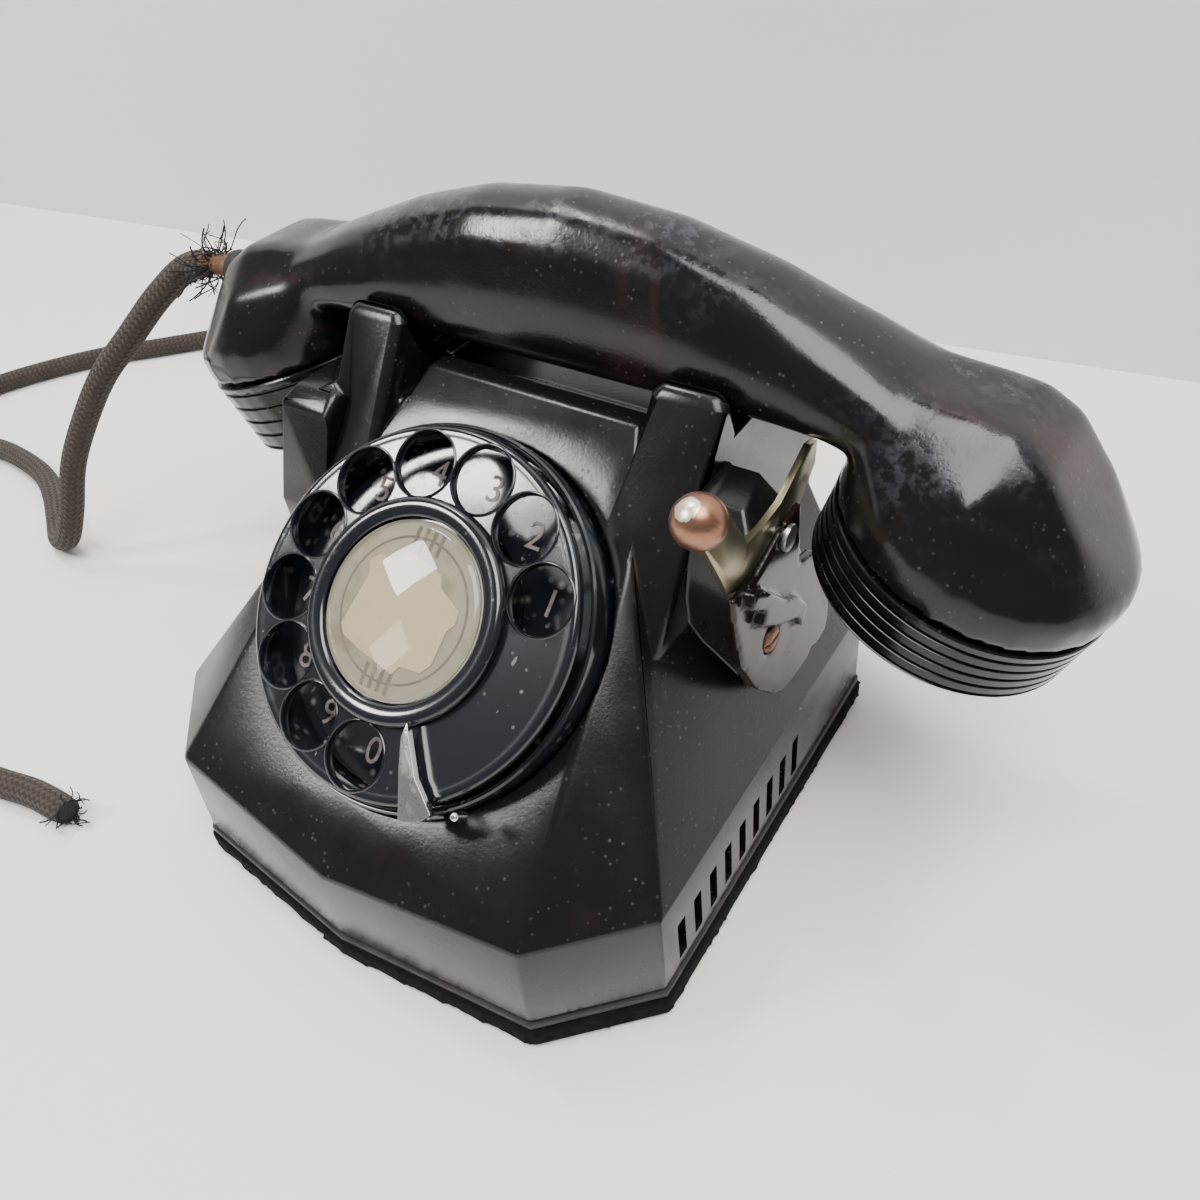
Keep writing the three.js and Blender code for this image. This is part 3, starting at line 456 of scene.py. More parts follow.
def moulding_material(name, weathered):
    """Satin black phenolic, brown where it is rubbed, with grey crazing where it has weathered."""
    material, net, shader = new_material(name, Specular_IOR_Level=0.36)
    place = net.place()
    cover, brighter, low = (0.5, 2.4, 0.13) if weathered else (0.34, 1.0, 0.19)
    red = use_group(net, "Blotches", place, Scale=22.0, Cover=cover)
    rubbed = tuple(brighter * c for c in colours().moulding_red[:])
    colour = net.blend(net.math("MULTIPLY", red, 0.7), colours().moulding[:], rubbed)
    dust = use_group(net, "Dust", place, Scale=520.0, Amount=0.5)
    grain = use_group(net, "Fine Grain", place, Scale=1500.0, Depth=1.0)
    rough = net.ramp(net.noise(place, 60.0, 4.0), 0.3, 0.8)
    rough = net.math("ADD", net.math("MULTIPLY", rough, 0.14), low)
    height = grain
    if weathered:
        craze = use_group(net, "Crazing", place, Scale=330.0, Width=0.12)
        patch = use_group(net, "Blotches", place, Scale=26.0, Cover=0.62)
        islands = net.ramp(net.noise(place, 420.0, 3.0), 0.46, 0.58)
        upward = net.add("ShaderNodeSeparateXYZ")
        net.put(net.add("ShaderNodeNewGeometry").outputs["Normal"], upward.inputs[0])
        top = net.ramp(upward.outputs["Z"], 0.25, 0.85)
        mask = net.math("MULTIPLY", net.math("MULTIPLY", patch, top), islands)
        colour = net.blend(net.math("MULTIPLY", mask, 0.75), colour, colours().weathering[:])
        cracks = net.math("MULTIPLY", net.math("MULTIPLY", craze, top), 0.5)
        colour = net.blend(cracks, colour, (0.004, 0.004, 0.005))
        rough = net.math("ADD", rough, net.math("MULTIPLY", mask, 0.22))
        height = net.math("ADD", height, net.math("MULTIPLY", mask, 0.8))
    colour = net.blend(net.math("MULTIPLY", dust, 0.5), colour, (0.16, 0.15, 0.14))
    net.put(colour, shader["Base Color"])
    net.put(net.math("ADD", rough, net.math("MULTIPLY", dust, 0.3)), shader["Roughness"])
    net.put(net.bump(height, 0.00006, 0.6), shader["Normal"])
    return material


def enamel_material(name, dusty):
    """Glossy black enamel with dust, fine scratches and worn patches."""
    material, net, shader = new_material(name, Coat_Weight=0.35, Coat_Roughness=0.08)
    place = net.place()
    dust = use_group(net, "Dust", place, Scale=300.0, Amount=dusty)
    scratch = use_group(net, "Scratches", place, Scale=70.0, Amount=0.6)
    worn = use_group(net, "Blotches", place, Scale=60.0, Cover=0.3)
    colour = net.blend(net.math("MULTIPLY", worn, 0.3), (0.007, 0.008, 0.011), (0.03, 0.028, 0.03))
    colour = net.blend(net.math("MULTIPLY", dust, 0.8), colour, (0.25, 0.23, 0.2))
    colour = net.blend(net.math("MULTIPLY", scratch, 0.6), colour, (0.3, 0.3, 0.31))
    net.put(colour, shader["Base Color"])
    rough = net.math("ADD", 0.16, net.math("MULTIPLY", worn, 0.16))
    net.put(net.math("ADD", rough, net.math("MULTIPLY", dust, 0.4)), shader["Roughness"])
    grain = use_group(net, "Fine Grain", place, Scale=600.0, Depth=0.7)
    net.put(net.bump(net.math("SUBTRACT", grain, scratch), 0.00003, 0.5), shader["Normal"])
    return material


def metal_material(name, base, tarnish, cover, rough, pits, grain_scale=900.0):
    """Metal with tarnish in patches, small pits and light scratches."""
    material, net, shader = new_material(name, Metallic=1.0)
    place = net.place()
    patch = use_group(net, "Blotches", place, Scale=130.0, Cover=cover)
    speck = use_group(net, "Dust", place, Scale=900.0, Amount=pits)
    scratch = use_group(net, "Scratches", place, Scale=160.0, Amount=0.4)
    colour = net.blend(patch, base, tarnish)
    colour = net.blend(net.math("MULTIPLY", speck, 0.8), colour, tuple(0.25 * c for c in tarnish))
    net.put(colour, shader["Base Color"])
    uneven = net.math("ADD", rough, net.math("MULTIPLY", patch, 0.3))
    net.put(net.math("ADD", uneven, net.math("MULTIPLY", scratch, 0.15)), shader["Roughness"])
    grain = use_group(net, "Fine Grain", place, Scale=grain_scale, Depth=0.8)
    pitted = net.math("SUBTRACT", grain, net.math("MULTIPLY", speck, 1.5))
    net.put(net.bump(pitted, 0.00004, 0.6), shader["Normal"])
    return material


def dull_material(name, base, other, scale, rough, depth=0.00005):
    """Paint, rubber, brown moulding, paper and other plain finishes with some unevenness."""
    material, net, shader = new_material(name, Specular_IOR_Level=0.34)
    place = net.place()
    patch = use_group(net, "Blotches", place, Scale=scale, Cover=0.55)
    dust = use_group(net, "Dust", place, Scale=500.0, Amount=0.5)
    colour = net.blend(patch, base, other)
    colour = net.blend(net.math("MULTIPLY", dust, 0.3), colour, (0.3, 0.28, 0.25))
    net.put(colour, shader["Base Color"])
    net.put(net.math("ADD", rough, net.math("MULTIPLY", patch, 0.12)), shader["Roughness"])
    grain = use_group(net, "Fine Grain", place, Scale=scale * 16, Depth=1.0)
    net.put(net.bump(grain, depth, 0.7), shader["Normal"])
    return material


def felt_material():
    """Black felt with matted fibres."""
    material, net, shader = new_material("Felt", Specular_IOR_Level=0.12)
    place = net.place()
    fibre = net.noise(place, 1500.0, 4.0, 0.7, 1.5)
    clump = use_group(net, "Blotches", place, Scale=220.0, Cover=0.5)
    colour = net.blend(fibre, (0.002, 0.002, 0.0025), (0.01, 0.01, 0.011))
    colour = net.blend(net.math("MULTIPLY", clump, 0.35), colour, (0.016, 0.0155, 0.015))
    net.put(colour, shader["Base Color"])
    net.put(net.math("ADD", 0.85, net.math("MULTIPLY", fibre, 0.1)), shader["Roughness"])
    net.put(net.bump(fibre, 0.0005, 0.9), shader["Normal"])
    return material


BRAID_STRANDS = 12.0


def braid_material():
    """Braided cotton: two sets of threads that cross round the cord, from the piece's own UV map, with
    painted shade darkening the grooves between them.
    """
    material, net, shader = new_material("Braided cotton", Sheen_Weight=0.06, Sheen_Roughness=0.5)
    split = net.add("ShaderNodeSeparateXYZ")
    net.put(net.add("ShaderNodeTexCoord").outputs["UV"], split.inputs[0])
    around, along = split.outputs["X"], split.outputs["Y"]
    one = net.math("MULTIPLY", net.math("ADD", around, along), BRAID_STRANDS)
    two = net.math("MULTIPLY", net.math("SUBTRACT", around, along), BRAID_STRANDS)
    first = net.math("ABSOLUTE", net.math("SINE", net.math("MULTIPLY", one, math.pi)))
    second = net.math("ABSOLUTE", net.math("SINE", net.math("MULTIPLY", two, math.pi)))
    checks = net.math("ADD", net.math("FLOOR", one), net.math("FLOOR", two))
    over = net.math("GREATER_THAN", net.math("PINGPONG", checks, 1.0), 0.5)
    under = net.math("MULTIPLY", second, net.math("SUBTRACT", 1.0, over))
    height = net.math("ADD", net.math("MULTIPLY", first, over), under)
    fray = net.noise(net.place(), 1800.0, 4.0, 0.7)
    worn = use_group(net, "Blotches", net.place(), Scale=70.0, Cover=0.5)
    base = colours().cloth[:]
    colour = net.blend(over, tuple(0.62 * c for c in base), base)
    colour = net.blend(net.math("MULTIPLY", worn, 0.5), colour, tuple(1.7 * c for c in base))
    # painted shade: where the braid's relief is low, between the threads, the colour falls to an eighth of
    # the cloth's
    colour = net.blend(net.ramp(height, 0.45, 0.05), colour, tuple(0.12 * c for c in base))
    net.put(net.blend(net.math("MULTIPLY", fray, 0.35), colour, (0.02, 0.017, 0.014)), shader["Base Color"])
    net.put(net.math("ADD", 0.78, net.math("MULTIPLY", fray, 0.15)), shader["Roughness"])
    total = net.math("ADD", height, net.math("MULTIPLY", fray, 0.5))
    net.put(net.bump(total, 0.0005, 0.8), shader["Normal"])
    return material


def window_material():
    """Clear celluloid, yellowed and lightly scratched."""
    material, net, shader = new_material("Celluloid", Transmission_Weight=1.0, IOR=1.35)
    place = net.place()
    scratch = use_group(net, "Scratches", place, Scale=120.0, Amount=0.5)
    haze = use_group(net, "Blotches", place, Scale=90.0, Cover=0.4)
    net.put(net.blend(haze, (0.97, 0.95, 0.9), (0.9, 0.86, 0.76)), shader["Base Color"])
    rough = net.math("ADD", 0.03, net.math("MULTIPLY", scratch, 0.25))
    net.put(net.math("ADD", rough, net.math("MULTIPLY", haze, 0.08)), shader["Roughness"])
    return material


# finish: material name, clean colour, tarnish, how much is tarnished, roughness, pits,
# and the grain's scale where it isn't the usual one
METALS = {
    "chrome": ("Pitted plating", (0.74, 0.72, 0.68), (0.36, 0.31, 0.25), 0.4, 0.2, 0.8),
    "steel": ("Steel", (0.5, 0.5, 0.51), (0.28, 0.24, 0.2), 0.35, 0.36, 0.5),
    "aluminium": ("Aluminium", (0.7, 0.7, 0.7), (0.5, 0.5, 0.5), 0.3, 0.42, 0.3),
    "brass": ("Turned brass", (0.58, 0.44, 0.2), (0.26, 0.18, 0.1), 0.4, 0.3, 0.5),
    "lever_brass": ("Lever brass", (0.4, 0.36, 0.23), (0.2, 0.16, 0.1), 0.45, 0.34, 0.6),
    "rust": ("Rusty screw", (0.22, 0.12, 0.09), (0.12, 0.05, 0.035), 0.6, 0.55, 0.8),
    "copper": ("Copper winding", (0.5, 0.24, 0.12), (0.3, 0.12, 0.06), 0.4, 0.35, 0.3, 2600.0),
}
# finish: material name, two colours, scale of the patches, roughness,
# and the grain's depth where it isn't the usual one
DULLS = {
    "brown_moulding": ("Brown moulding", (0.007, 0.005, 0.005), (0.024, 0.009, 0.007), 60.0, 0.17),
    "plate_paint": ("Floor plate paint", (0.02, 0.02, 0.021), (0.05, 0.04, 0.035), 90.0, 0.5),
    "can_paint": ("Can paint", (0.3, 0.31, 0.28), (0.2, 0.19, 0.16), 50.0, 0.45),
    "rubber": ("Rubber", (0.012, 0.012, 0.012), (0.03, 0.028, 0.026), 200.0, 0.7),
    "inner_cord": ("Inner cord", (0.13, 0.065, 0.035), (0.2, 0.12, 0.07), 400.0, 0.8, 0.0002),
    "thread": ("Loose thread", (0.01, 0.01, 0.011), (0.03, 0.028, 0.026), 900.0, 0.85),
    "backing": ("Card backing", (0.40, 0.38, 0.30), (0.28, 0.25, 0.18), 90.0, 0.6, 0.00003),
    "print": ("Faded print", (0.2, 0.19, 0.16), (0.36, 0.33, 0.27), 300.0, 0.7, 0.00001),
    "digits": ("Dial digits", (0.2, 0.17, 0.155), (0.045, 0.02, 0.016), 200.0, 0.5, 0.00002),
}
FINISHES = {}


def finish(name):
    """The finish of that name. The first call makes them all."""
    if not FINISHES:
        make_finishes()
    return FINISHES[name]


def make_finishes():
    """Makes the shared patterns and every finish but the knob's."""
    make_groups()
    FINISHES["moulding"] = moulding_material("Moulding", False)
    FINISHES["moulding_worn"] = moulding_material("Weathered moulding", True)
    FINISHES["enamel"] = enamel_material("Black enamel", 0.34)
    FINISHES["dusty_enamel"] = enamel_material("Dusty enamel", 0.75)
    for name, settings in METALS.items():
        FINISHES[name] = metal_material(*settings)
    for name, settings in DULLS.items():
        FINISHES[name] = dull_material(*settings)
    FINISHES["paper"] = dull_material(
        "Number card", colours().paper[:], (0.6, 0.51, 0.36), 70.0, 0.75, 0.00003
    )
    FINISHES["felt"] = felt_material()
    FINISHES["braid"] = braid_material()
    FINISHES["window"] = window_material()


# ---------------------------------------------------------------- cords
CORD_Z = 3.95
RELIEF = Vector((HANDSET_X - 101, HANDSET_Y, 95.6))
RELIEF_TILT = math.radians(-89)
BARE_RUN = 21.0
HANDSET_CORD_STEP = 0.55
HANDSET_CORD_SIDES = 48
HANDSET_CORD_RELIEF = 0.045
LINE_CORD_STEP = 1.1
LINE_CORD_SIDES = 24
LINE_CORD_RELIEF = 0.02
LINE_CORD_SHARE = 0.985
CORD_SHADE_ANGLE = 60
CURVE_STEPS = 24
PLUG_EDGE = 0.0009


def relief_at(distance):
    """The point that far along the axis of the handset's bushing, in millimetres."""
    axis = Vector((math.sin(RELIEF_TILT), 0, math.cos(RELIEF_TILT)))
    return tuple(RELIEF + axis * distance)


HANDSET_CORD = [
    relief_at(1), relief_at(6), relief_at(11), relief_at(17), (-126, 27.6, 94), (-135.6, 22, 86.4),
    (-146, 14, 74.4), (-155.4, 7, 63.4), (-163.6, 0, 49.6), (-169.7, -6.5, 35.5), (-174, -11.5, 20),
    (-179, -14.5, 9),
] + [(x, y, CORD_Z) for x, y in [
    (-188, -13.5), (-199, -7), (-211, 0), (-223, 5.6), (-237, 9), (-260, 10), (-274, 6), (-285, -3),
    (-289, -16), (-284, -30), (-268, -44), (-240, -60), (-200, -76), (-162, -88), (-132, -90),
    (-111, -86.4), (-99, -83.8), (-86, -82.9),
]]
LINE_CORD = [
    (-22, 67.5, 17), (-22, 77.5, 17), (-22.6, 85.5, 15.6), (-27, 102, 9),
] + [(x, y, CORD_Z) for x, y in [
    (-36, 120), (-54, 138), (-84, 152), (-124, 160), (-168, 159), (-206, 149), (-234, 132), (-255, 111.3),
    (-270.5, 94.6), (-287, 77), (-299.5, 57.3), (-307, 40.3), (-309.8, 28.4),
]]
COIL_CENTRE = (-350.0, -6.0)
COIL_OUTER = 44.8
COIL_INNER = 37.3
COIL_TOP = 11.3
COIL_LAST = 29.9
COIL_STEPS = 24
COIL_TAIL = [
    (29.9, 0), (27.5, -9.5), (21.5, -17), (13.5, -21), (5, -21.8), (-3, -19.6), (-8.8, -14.5), (-11, -9),
    (-11, -6.3),
]


def coil_points():
    """The put-away turns: down the outside, up, in and round, then into the connector in the middle."""
    stages = [(COIL_OUTER, CORD_Z), (COIL_OUTER, COIL_TOP), (COIL_INNER, COIL_TOP), (COIL_INNER, CORD_Z)]
    after = [*stages[1:], (COIL_LAST, CORD_Z)]
    shifts = [(0.8, 1.0), (0.55, 0.75), (0.3, 0.5), (0.05, 0.25)]
    points = []
    for (radius, height), (to_radius, to_height), (begin, end) in zip(stages, after, shifts):
        for step in range(COIL_STEPS):
            share = step / COIL_STEPS
            ease = min(1.0, max(0.0, (share - begin) / (end - begin)))
            ease = ease * ease * (3 - 2 * ease)
            r = radius + (to_radius - radius) * ease
            x = COIL_CENTRE[0] + r * math.cos(share * TURN)
            y = COIL_CENTRE[1] - r * math.sin(share * TURN)
            points.append((x, y, height + (to_height - height) * ease))
    for x, y in COIL_TAIL:
        points.append((COIL_CENTRE[0] + x, COIL_CENTRE[1] + y, CORD_Z))
    return points


def smooth_path(points, spacing):
    """Even steps along a smooth curve through the points."""
    given = np.array(points, float)
    knots = np.concatenate([[0], np.cumsum(np.linalg.norm(np.diff(given, axis=0), axis=1) ** 0.5)])
    padded = np.vstack([2 * given[0] - given[1], given, 2 * given[-1] - given[-2]])
    times = np.concatenate([[knots[0] - (knots[1] - knots[0])], knots, [2 * knots[-1] - knots[-2]]])
    dense = []
    for i in range(1, len(padded) - 2):
        t0, t1, t2, t3 = times[i - 1:i + 3]
        p0, p1, p2, p3 = padded[i - 1:i + 3]
        t = np.linspace(t1, t2, CURVE_STEPS, endpoint=False)[:, None]
        a1 = (t1 - t) / (t1 - t0) * p0 + (t - t0) / (t1 - t0) * p1
        a2 = (t2 - t) / (t2 - t1) * p1 + (t - t1) / (t2 - t1) * p2
        a3 = (t3 - t) / (t3 - t2) * p2 + (t - t2) / (t3 - t2) * p3
        b1 = (t2 - t) / (t2 - t0) * a1 + (t - t0) / (t2 - t0) * a2
        b2 = (t3 - t) / (t3 - t1) * a2 + (t - t1) / (t3 - t1) * a3
        dense.append((t2 - t) / (t2 - t1) * b1 + (t - t1) / (t2 - t1) * b2)
    dense = np.vstack(dense + [given[-1:]])
    run = np.concatenate([[0], np.cumsum(np.linalg.norm(np.diff(dense, axis=0), axis=1))])
    wanted = np.linspace(0, run[-1], max(2, int(run[-1] / spacing) + 1))
    even = np.stack([np.interp(wanted, run, dense[:, k]) for k in range(3)], axis=1)
    return even, run[-1]


def tube_mesh(name, path, radius, around, relief=0.0, taper=None):
    """A round tube along an even path, in millimetres, with braid relief and a UV map that follows it."""
    count = len(path)
    tangents = np.gradient(path, axis=0)
    tangents /= np.linalg.norm(tangents, axis=1)[:, None]
    side = np.cross(tangents[0], (0, 0, 1.0))
    side /= np.linalg.norm(side)
    sides = np.empty_like(path)
    for i, tangent in enumerate(tangents):
        side = side - tangent * np.dot(side, tangent)
        side /= np.linalg.norm(side)
        sides[i] = side
    ups = np.cross(tangents, sides)
    spacing = np.linalg.norm(path[1] - path[0])
    angle = np.arange(around) / around
    along = np.arange(count) * spacing / (TURN * radius)
    wave_a = np.abs(np.sin(math.pi * BRAID_STRANDS * (angle[None, :] + along[:, None])))
    wave_b = np.abs(np.sin(math.pi * BRAID_STRANDS * (angle[None, :] - along[:, None])))
    size = radius * (1 - relief + relief * np.maximum(wave_a, wave_b))
    if taper is not None:
        size = size * np.interp(np.arange(count) * spacing, taper[0], taper[1])[:, None]
    turn = angle * TURN
    ring = path[:, None, :] + size[:, :, None] * (
        np.cos(turn)[None, :, None] * sides[:, None, :] + np.sin(turn)[None, :, None] * ups[:, None, :]
    )
    corners = ring.reshape(-1, 3) * MM
    rings = np.arange(count - 1)[:, None] * around
    a = (rings + np.arange(around)[None, :]).ravel()
    b = (rings + (np.arange(around)[None, :] + 1) % around).ravel()
    faces = np.stack([a, b, b + around, a + around], axis=1).tolist()
    faces.append(list(range(around))[::-1])
    faces.append(list(range((count - 1) * around, count * around)))
    mesh = bpy.data.meshes.new(name)
    mesh.from_pydata(corners.tolist(), [], faces)
    layer = mesh.uv_layers.new(name="UVMap")
    quads = (count - 1) * around
    rows = np.repeat(np.arange(count - 1), around)
    cols = np.tile(np.arange(around), count - 1)
    uv = np.zeros((len(mesh.loops), 2), np.float32)
    for corner, (dr, dc) in enumerate(((0, 0), (0, 1), (1, 1), (1, 0))):
        uv[corner:quads * 4:4, 0] = (cols + dc) / around
        uv[corner:quads * 4:4, 1] = along[rows + dr]
    layer.data.foreach_set("uv", uv.ravel())
    mesh.update()
    obj = bpy.data.objects.new(name, mesh)
    bpy.context.scene.collection.objects.link(obj)
    edit(obj)
    bpy.ops.mesh.normals_make_consistent(inside=False)
    leave_edit()
    return smooth(obj, CORD_SHADE_ANGLE)


def make_cords():
    """Both cords. The handset's has its inner cord bare for a short run at the bushing."""
    radius = sizes().cord_diameter / MM / 2
    path, length = smooth_path(HANDSET_CORD, HANDSET_CORD_STEP)
    taper = ([0, BARE_RUN - 1.5, BARE_RUN + 1.5, length - 3, length], [0.72, 0.74, 1.0, 1.0, 0.86])
    cord = tube_mesh("handset_cord_cloth", path, radius, HANDSET_CORD_SIDES, HANDSET_CORD_RELIEF, taper)
    cord.data.materials.append(finish("braid"))
    cord.data.materials.append(finish("inner_cord"))
    for face in cord.data.polygons:
        if face.index // HANDSET_CORD_SIDES < BARE_RUN / HANDSET_CORD_STEP:
            face.material_index = 1
    end_direction = Vector(path[-1] - path[-8]).normalized()
    cut_end = loose_ends(
        "cut_end_threads", Vector(path[-1]), end_direction, count=26, spread=radius, reach=4.0, seed=3
    )
    cut_end.data.materials.append(finish("thread"))
    worn_place = Vector(relief_at(19))
    fray = loose_ends(
        "frayed_threads", worn_place, Vector((-1, 0, 0.1)), count=70, spread=radius * 0.85, reach=8.5, seed=7
    )
    fray.data.materials.append(finish("thread"))
    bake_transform(cord)
    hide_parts("handset_cord")
    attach(cut_end, "base")
    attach(fray, "handset")
    path, length = smooth_path(LINE_CORD + coil_points(), LINE_CORD_STEP)
    line = tube_mesh("line_cord_cloth", path, radius * LINE_CORD_SHARE, LINE_CORD_SIDES, LINE_CORD_RELIEF)
    line.data.materials.append(finish("braid"))
    plug = copy_of("line_connector", "line_connector_block")
    round_edges(plug, PLUG_EDGE, 3)
    finish_piece(plug, "base", finish("brown_moulding"), "bakelite_brown", "line_connector")
    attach(line, "base")
    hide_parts("line_cord", "line_cord_coil")


THREAD_SHARES = (0, 0.15, 0.3, 0.45, 0.6, 0.75, 0.9, 1.0)
THREAD_LOWEST = 0.5
THREAD_SIDES = 5


def loose_ends(name, start, direction, count, spread, reach, seed):
    """Loose threads that stand out of a worn or cut cord."""
    source = random.Random(seed)
    pieces = []
    for index in range(count):
        turn = source.uniform(0, TURN)
        side = direction.orthogonal().normalized()
        side.rotate(Matrix.Rotation(turn, 3, direction))
        origin = start + side * spread * source.uniform(0.55, 0.98)
        out = (direction * source.uniform(-0.5, 1.0) + side * source.uniform(0.15, 1.0)).normalized()
        bend = Vector((source.uniform(-1, 1), source.uniform(-1, 1), source.uniform(-0.8, 0.8)))
        long = reach * source.uniform(0.35, 1.0)
        twist = source.uniform(0.5, 1.6)
        curl = out.cross(bend).normalized() * long * 0.3
        path = []
        for share in THREAD_SHARES:
            sag = bend * (long * 0.7 * share * share)
            point = origin + out * long * share + sag + curl * math.sin(share * twist * math.pi)
            path.append((point.x, point.y, max(point.z, THREAD_LOWEST)))
        path = np.array(path)
        pieces.append(tube_mesh(f"{name}_{index}", path, source.uniform(0.12, 0.24), THREAD_SIDES))
    return joined(name, pieces)


class TELEPHONE_OT_cords(bpy.types.Operator):
    """Makes both cloth cords with their worn ends and the put-away turns"""

    bl_idname = "telephone.cords"
    bl_label = "Cords"

    def execute(self, context):
        make_cords()
        return {"FINISHED"}


# ---------------------------------------------------------------- stage
CAMERA_PLACE = Vector((0.1168251, -0.1310804, 0.2023420))
CAMERA_LENS = 29.912
CAMERA_WIDTH = 36
CAMERA_NEAREST = 0.005
CAMERA_RIGHT = Vector((0.84070447, 0.53842834, -0.0575406))
CAMERA_DOWN = Vector((0.32483467, -0.5864904, -0.74196459))
CAMERA_AHEAD = Vector((-0.43324177, 0.60508176, -0.66796529))
WALL_LEFT = Vector((-0.523, 0.1771, 0))
WALL_RIGHT = Vector((0.1176, 0.2641, 0))
TO_SIDES = 6
TO_FRONT = 8
TO_REAR = 4
WALL_HEIGHT = 4
TABLE_COLOUR = (0.81, 0.79, 0.765)
WALL_COLOUR = (0.78, 0.765, 0.755)
ROOM_COLOUR = (0.93, 0.96, 1.0, 1)
ROOM_STRENGTH = 0.26
# name, place, aim, width and height, watts, colour
LIGHTS = (
    ("window_left", (-0.92, -0.72, 1.06), (0, 0, 0.05), (0.28, 0.34), 15.0, (1.0, 0.985, 0.965)),
    ("lamp_back", (-0.55, 0.2, 1.1), (0, 0.02, 0.1), (0.3, 0.3), 13.0, (1.0, 0.99, 0.98)),
    ("lamp_over", (0.35, -0.25, 1.3), (0.05, 0, 0.05), (0.8, 0.8), 27.0, (1, 1, 1)),
)


def soft_light(name, place, target, size, power, colour):
    """A rectangular lamp aimed at a point."""
    lamp = bpy.data.lights.new(name, "AREA")
    lamp.shape = "RECTANGLE"
    lamp.size, lamp.size_y = size
    lamp.energy = power
    lamp.color = colour
    obj = bpy.data.objects.new(name, lamp)
    bpy.context.scene.collection.objects.link(obj)
    obj.location = place
    obj.rotation_euler = (Vector(target) - Vector(place)).to_track_quat("-Z", "Y").to_euler()


def stage_material(name, colour, rough, open_from_behind=False):
    """Plain matt paint, which can be left clear from behind so that a wall hides nothing."""
    material, net, shader = new_material(name)
    place = net.place()
    cloud = net.noise(place, 3.0, 3.0)
    net.put(net.blend(cloud, colour, tuple(0.96 * c for c in colour)), shader["Base Color"])
    net.put(net.math("ADD", rough, net.math("MULTIPLY", cloud, 0.1)), shader["Roughness"])
    if open_from_behind:
        mixed = net.add("ShaderNodeMixShader")
        net.put(net.add("ShaderNodeNewGeometry").outputs["Backfacing"], mixed.inputs[0])
        net.put(material.node_tree.nodes["Principled BSDF"].outputs[0], mixed.inputs[1])
        net.put(net.add("ShaderNodeBsdfTransparent").outputs[0], mixed.inputs[2])
        net.put(mixed.outputs[0], material.node_tree.nodes["Material Output"].inputs["Surface"])
    return material


class TELEPHONE_OT_stage(bpy.types.Operator):
    """Sets the table, the wall, the soft lights and the camera"""

    bl_idname = "telephone.stage"
    bl_label = "Stage"

    def execute(self, context):
        camera = bpy.data.cameras.new("camera")
        camera.lens = CAMERA_LENS
        camera.sensor_width = CAMERA_WIDTH
        camera.clip_start = CAMERA_NEAREST
        view = bpy.data.objects.new("camera", camera)
        context.scene.collection.objects.link(view)
        turn = Matrix((CAMERA_RIGHT, -CAMERA_DOWN, -CAMERA_AHEAD)).transposed().to_4x4()
        view.matrix_world = Matrix.Translation(CAMERA_PLACE) @ turn
        context.scene.camera = view

        along = (WALL_RIGHT - WALL_LEFT).normalized()
        back = Vector((-along.y, along.x, 0))
        right = WALL_LEFT + along * TO_SIDES
        left = WALL_LEFT - along * TO_SIDES
        near = back * TO_FRONT
        far = back * TO_REAR
        high = Vector((0, 0, WALL_HEIGHT))
        table_paint = stage_material("Table", TABLE_COLOUR, 0.45)
        self.make_sheet("table_top", (left - near, right - near, left + far, right + far), table_paint)
        wall_paint = stage_material("Wall", WALL_COLOUR, 0.6, open_from_behind=True)
        self.make_sheet("back_wall", (left, right, left + high, right + high), wall_paint)

        world = bpy.data.worlds.new("room")
        context.scene.world = world
        world.use_nodes = True
        back_light = world.node_tree.nodes["Background"]
        back_light.inputs["Color"].default_value = ROOM_COLOUR
        back_light.inputs["Strength"].default_value = ROOM_STRENGTH
        for settings in LIGHTS:
            soft_light(*settings)
        return {"FINISHED"}

    @staticmethod
    def make_sheet(name, corners, paint):
        """A flat sheet of the stage between four corners."""
        clear_selection()
        bpy.ops.mesh.primitive_plane_add(size=1)
        sheet = named(bpy.context.object, name)
        for vertex, place in zip(sheet.data.vertices, corners):
            vertex.co = place
        sheet.data.materials.append(paint)


# ---------------------------------------------------------------- case
HORN_SIDES = (30.0, 47.6)
HORN_FOOT = 84.0
HORN_BACK = 24.0
SLOT_SIDE = 56.0
SLOT_HEIGHTS = (10.5, 24.5)
SLOT_RUN = (-46.0, 16.0)
FELT_VOXEL = 0.0011
FELT_FUZZ = 0.00016
FELT_LUMPS = 0.0001
FELT_FOOT = 0.0008
FELT_SEED = 11
FELT_SHADE = 60
CASE_SHADE = 30
SHARP_ANGLE = 40
PLATE_EDGE = 0.0003


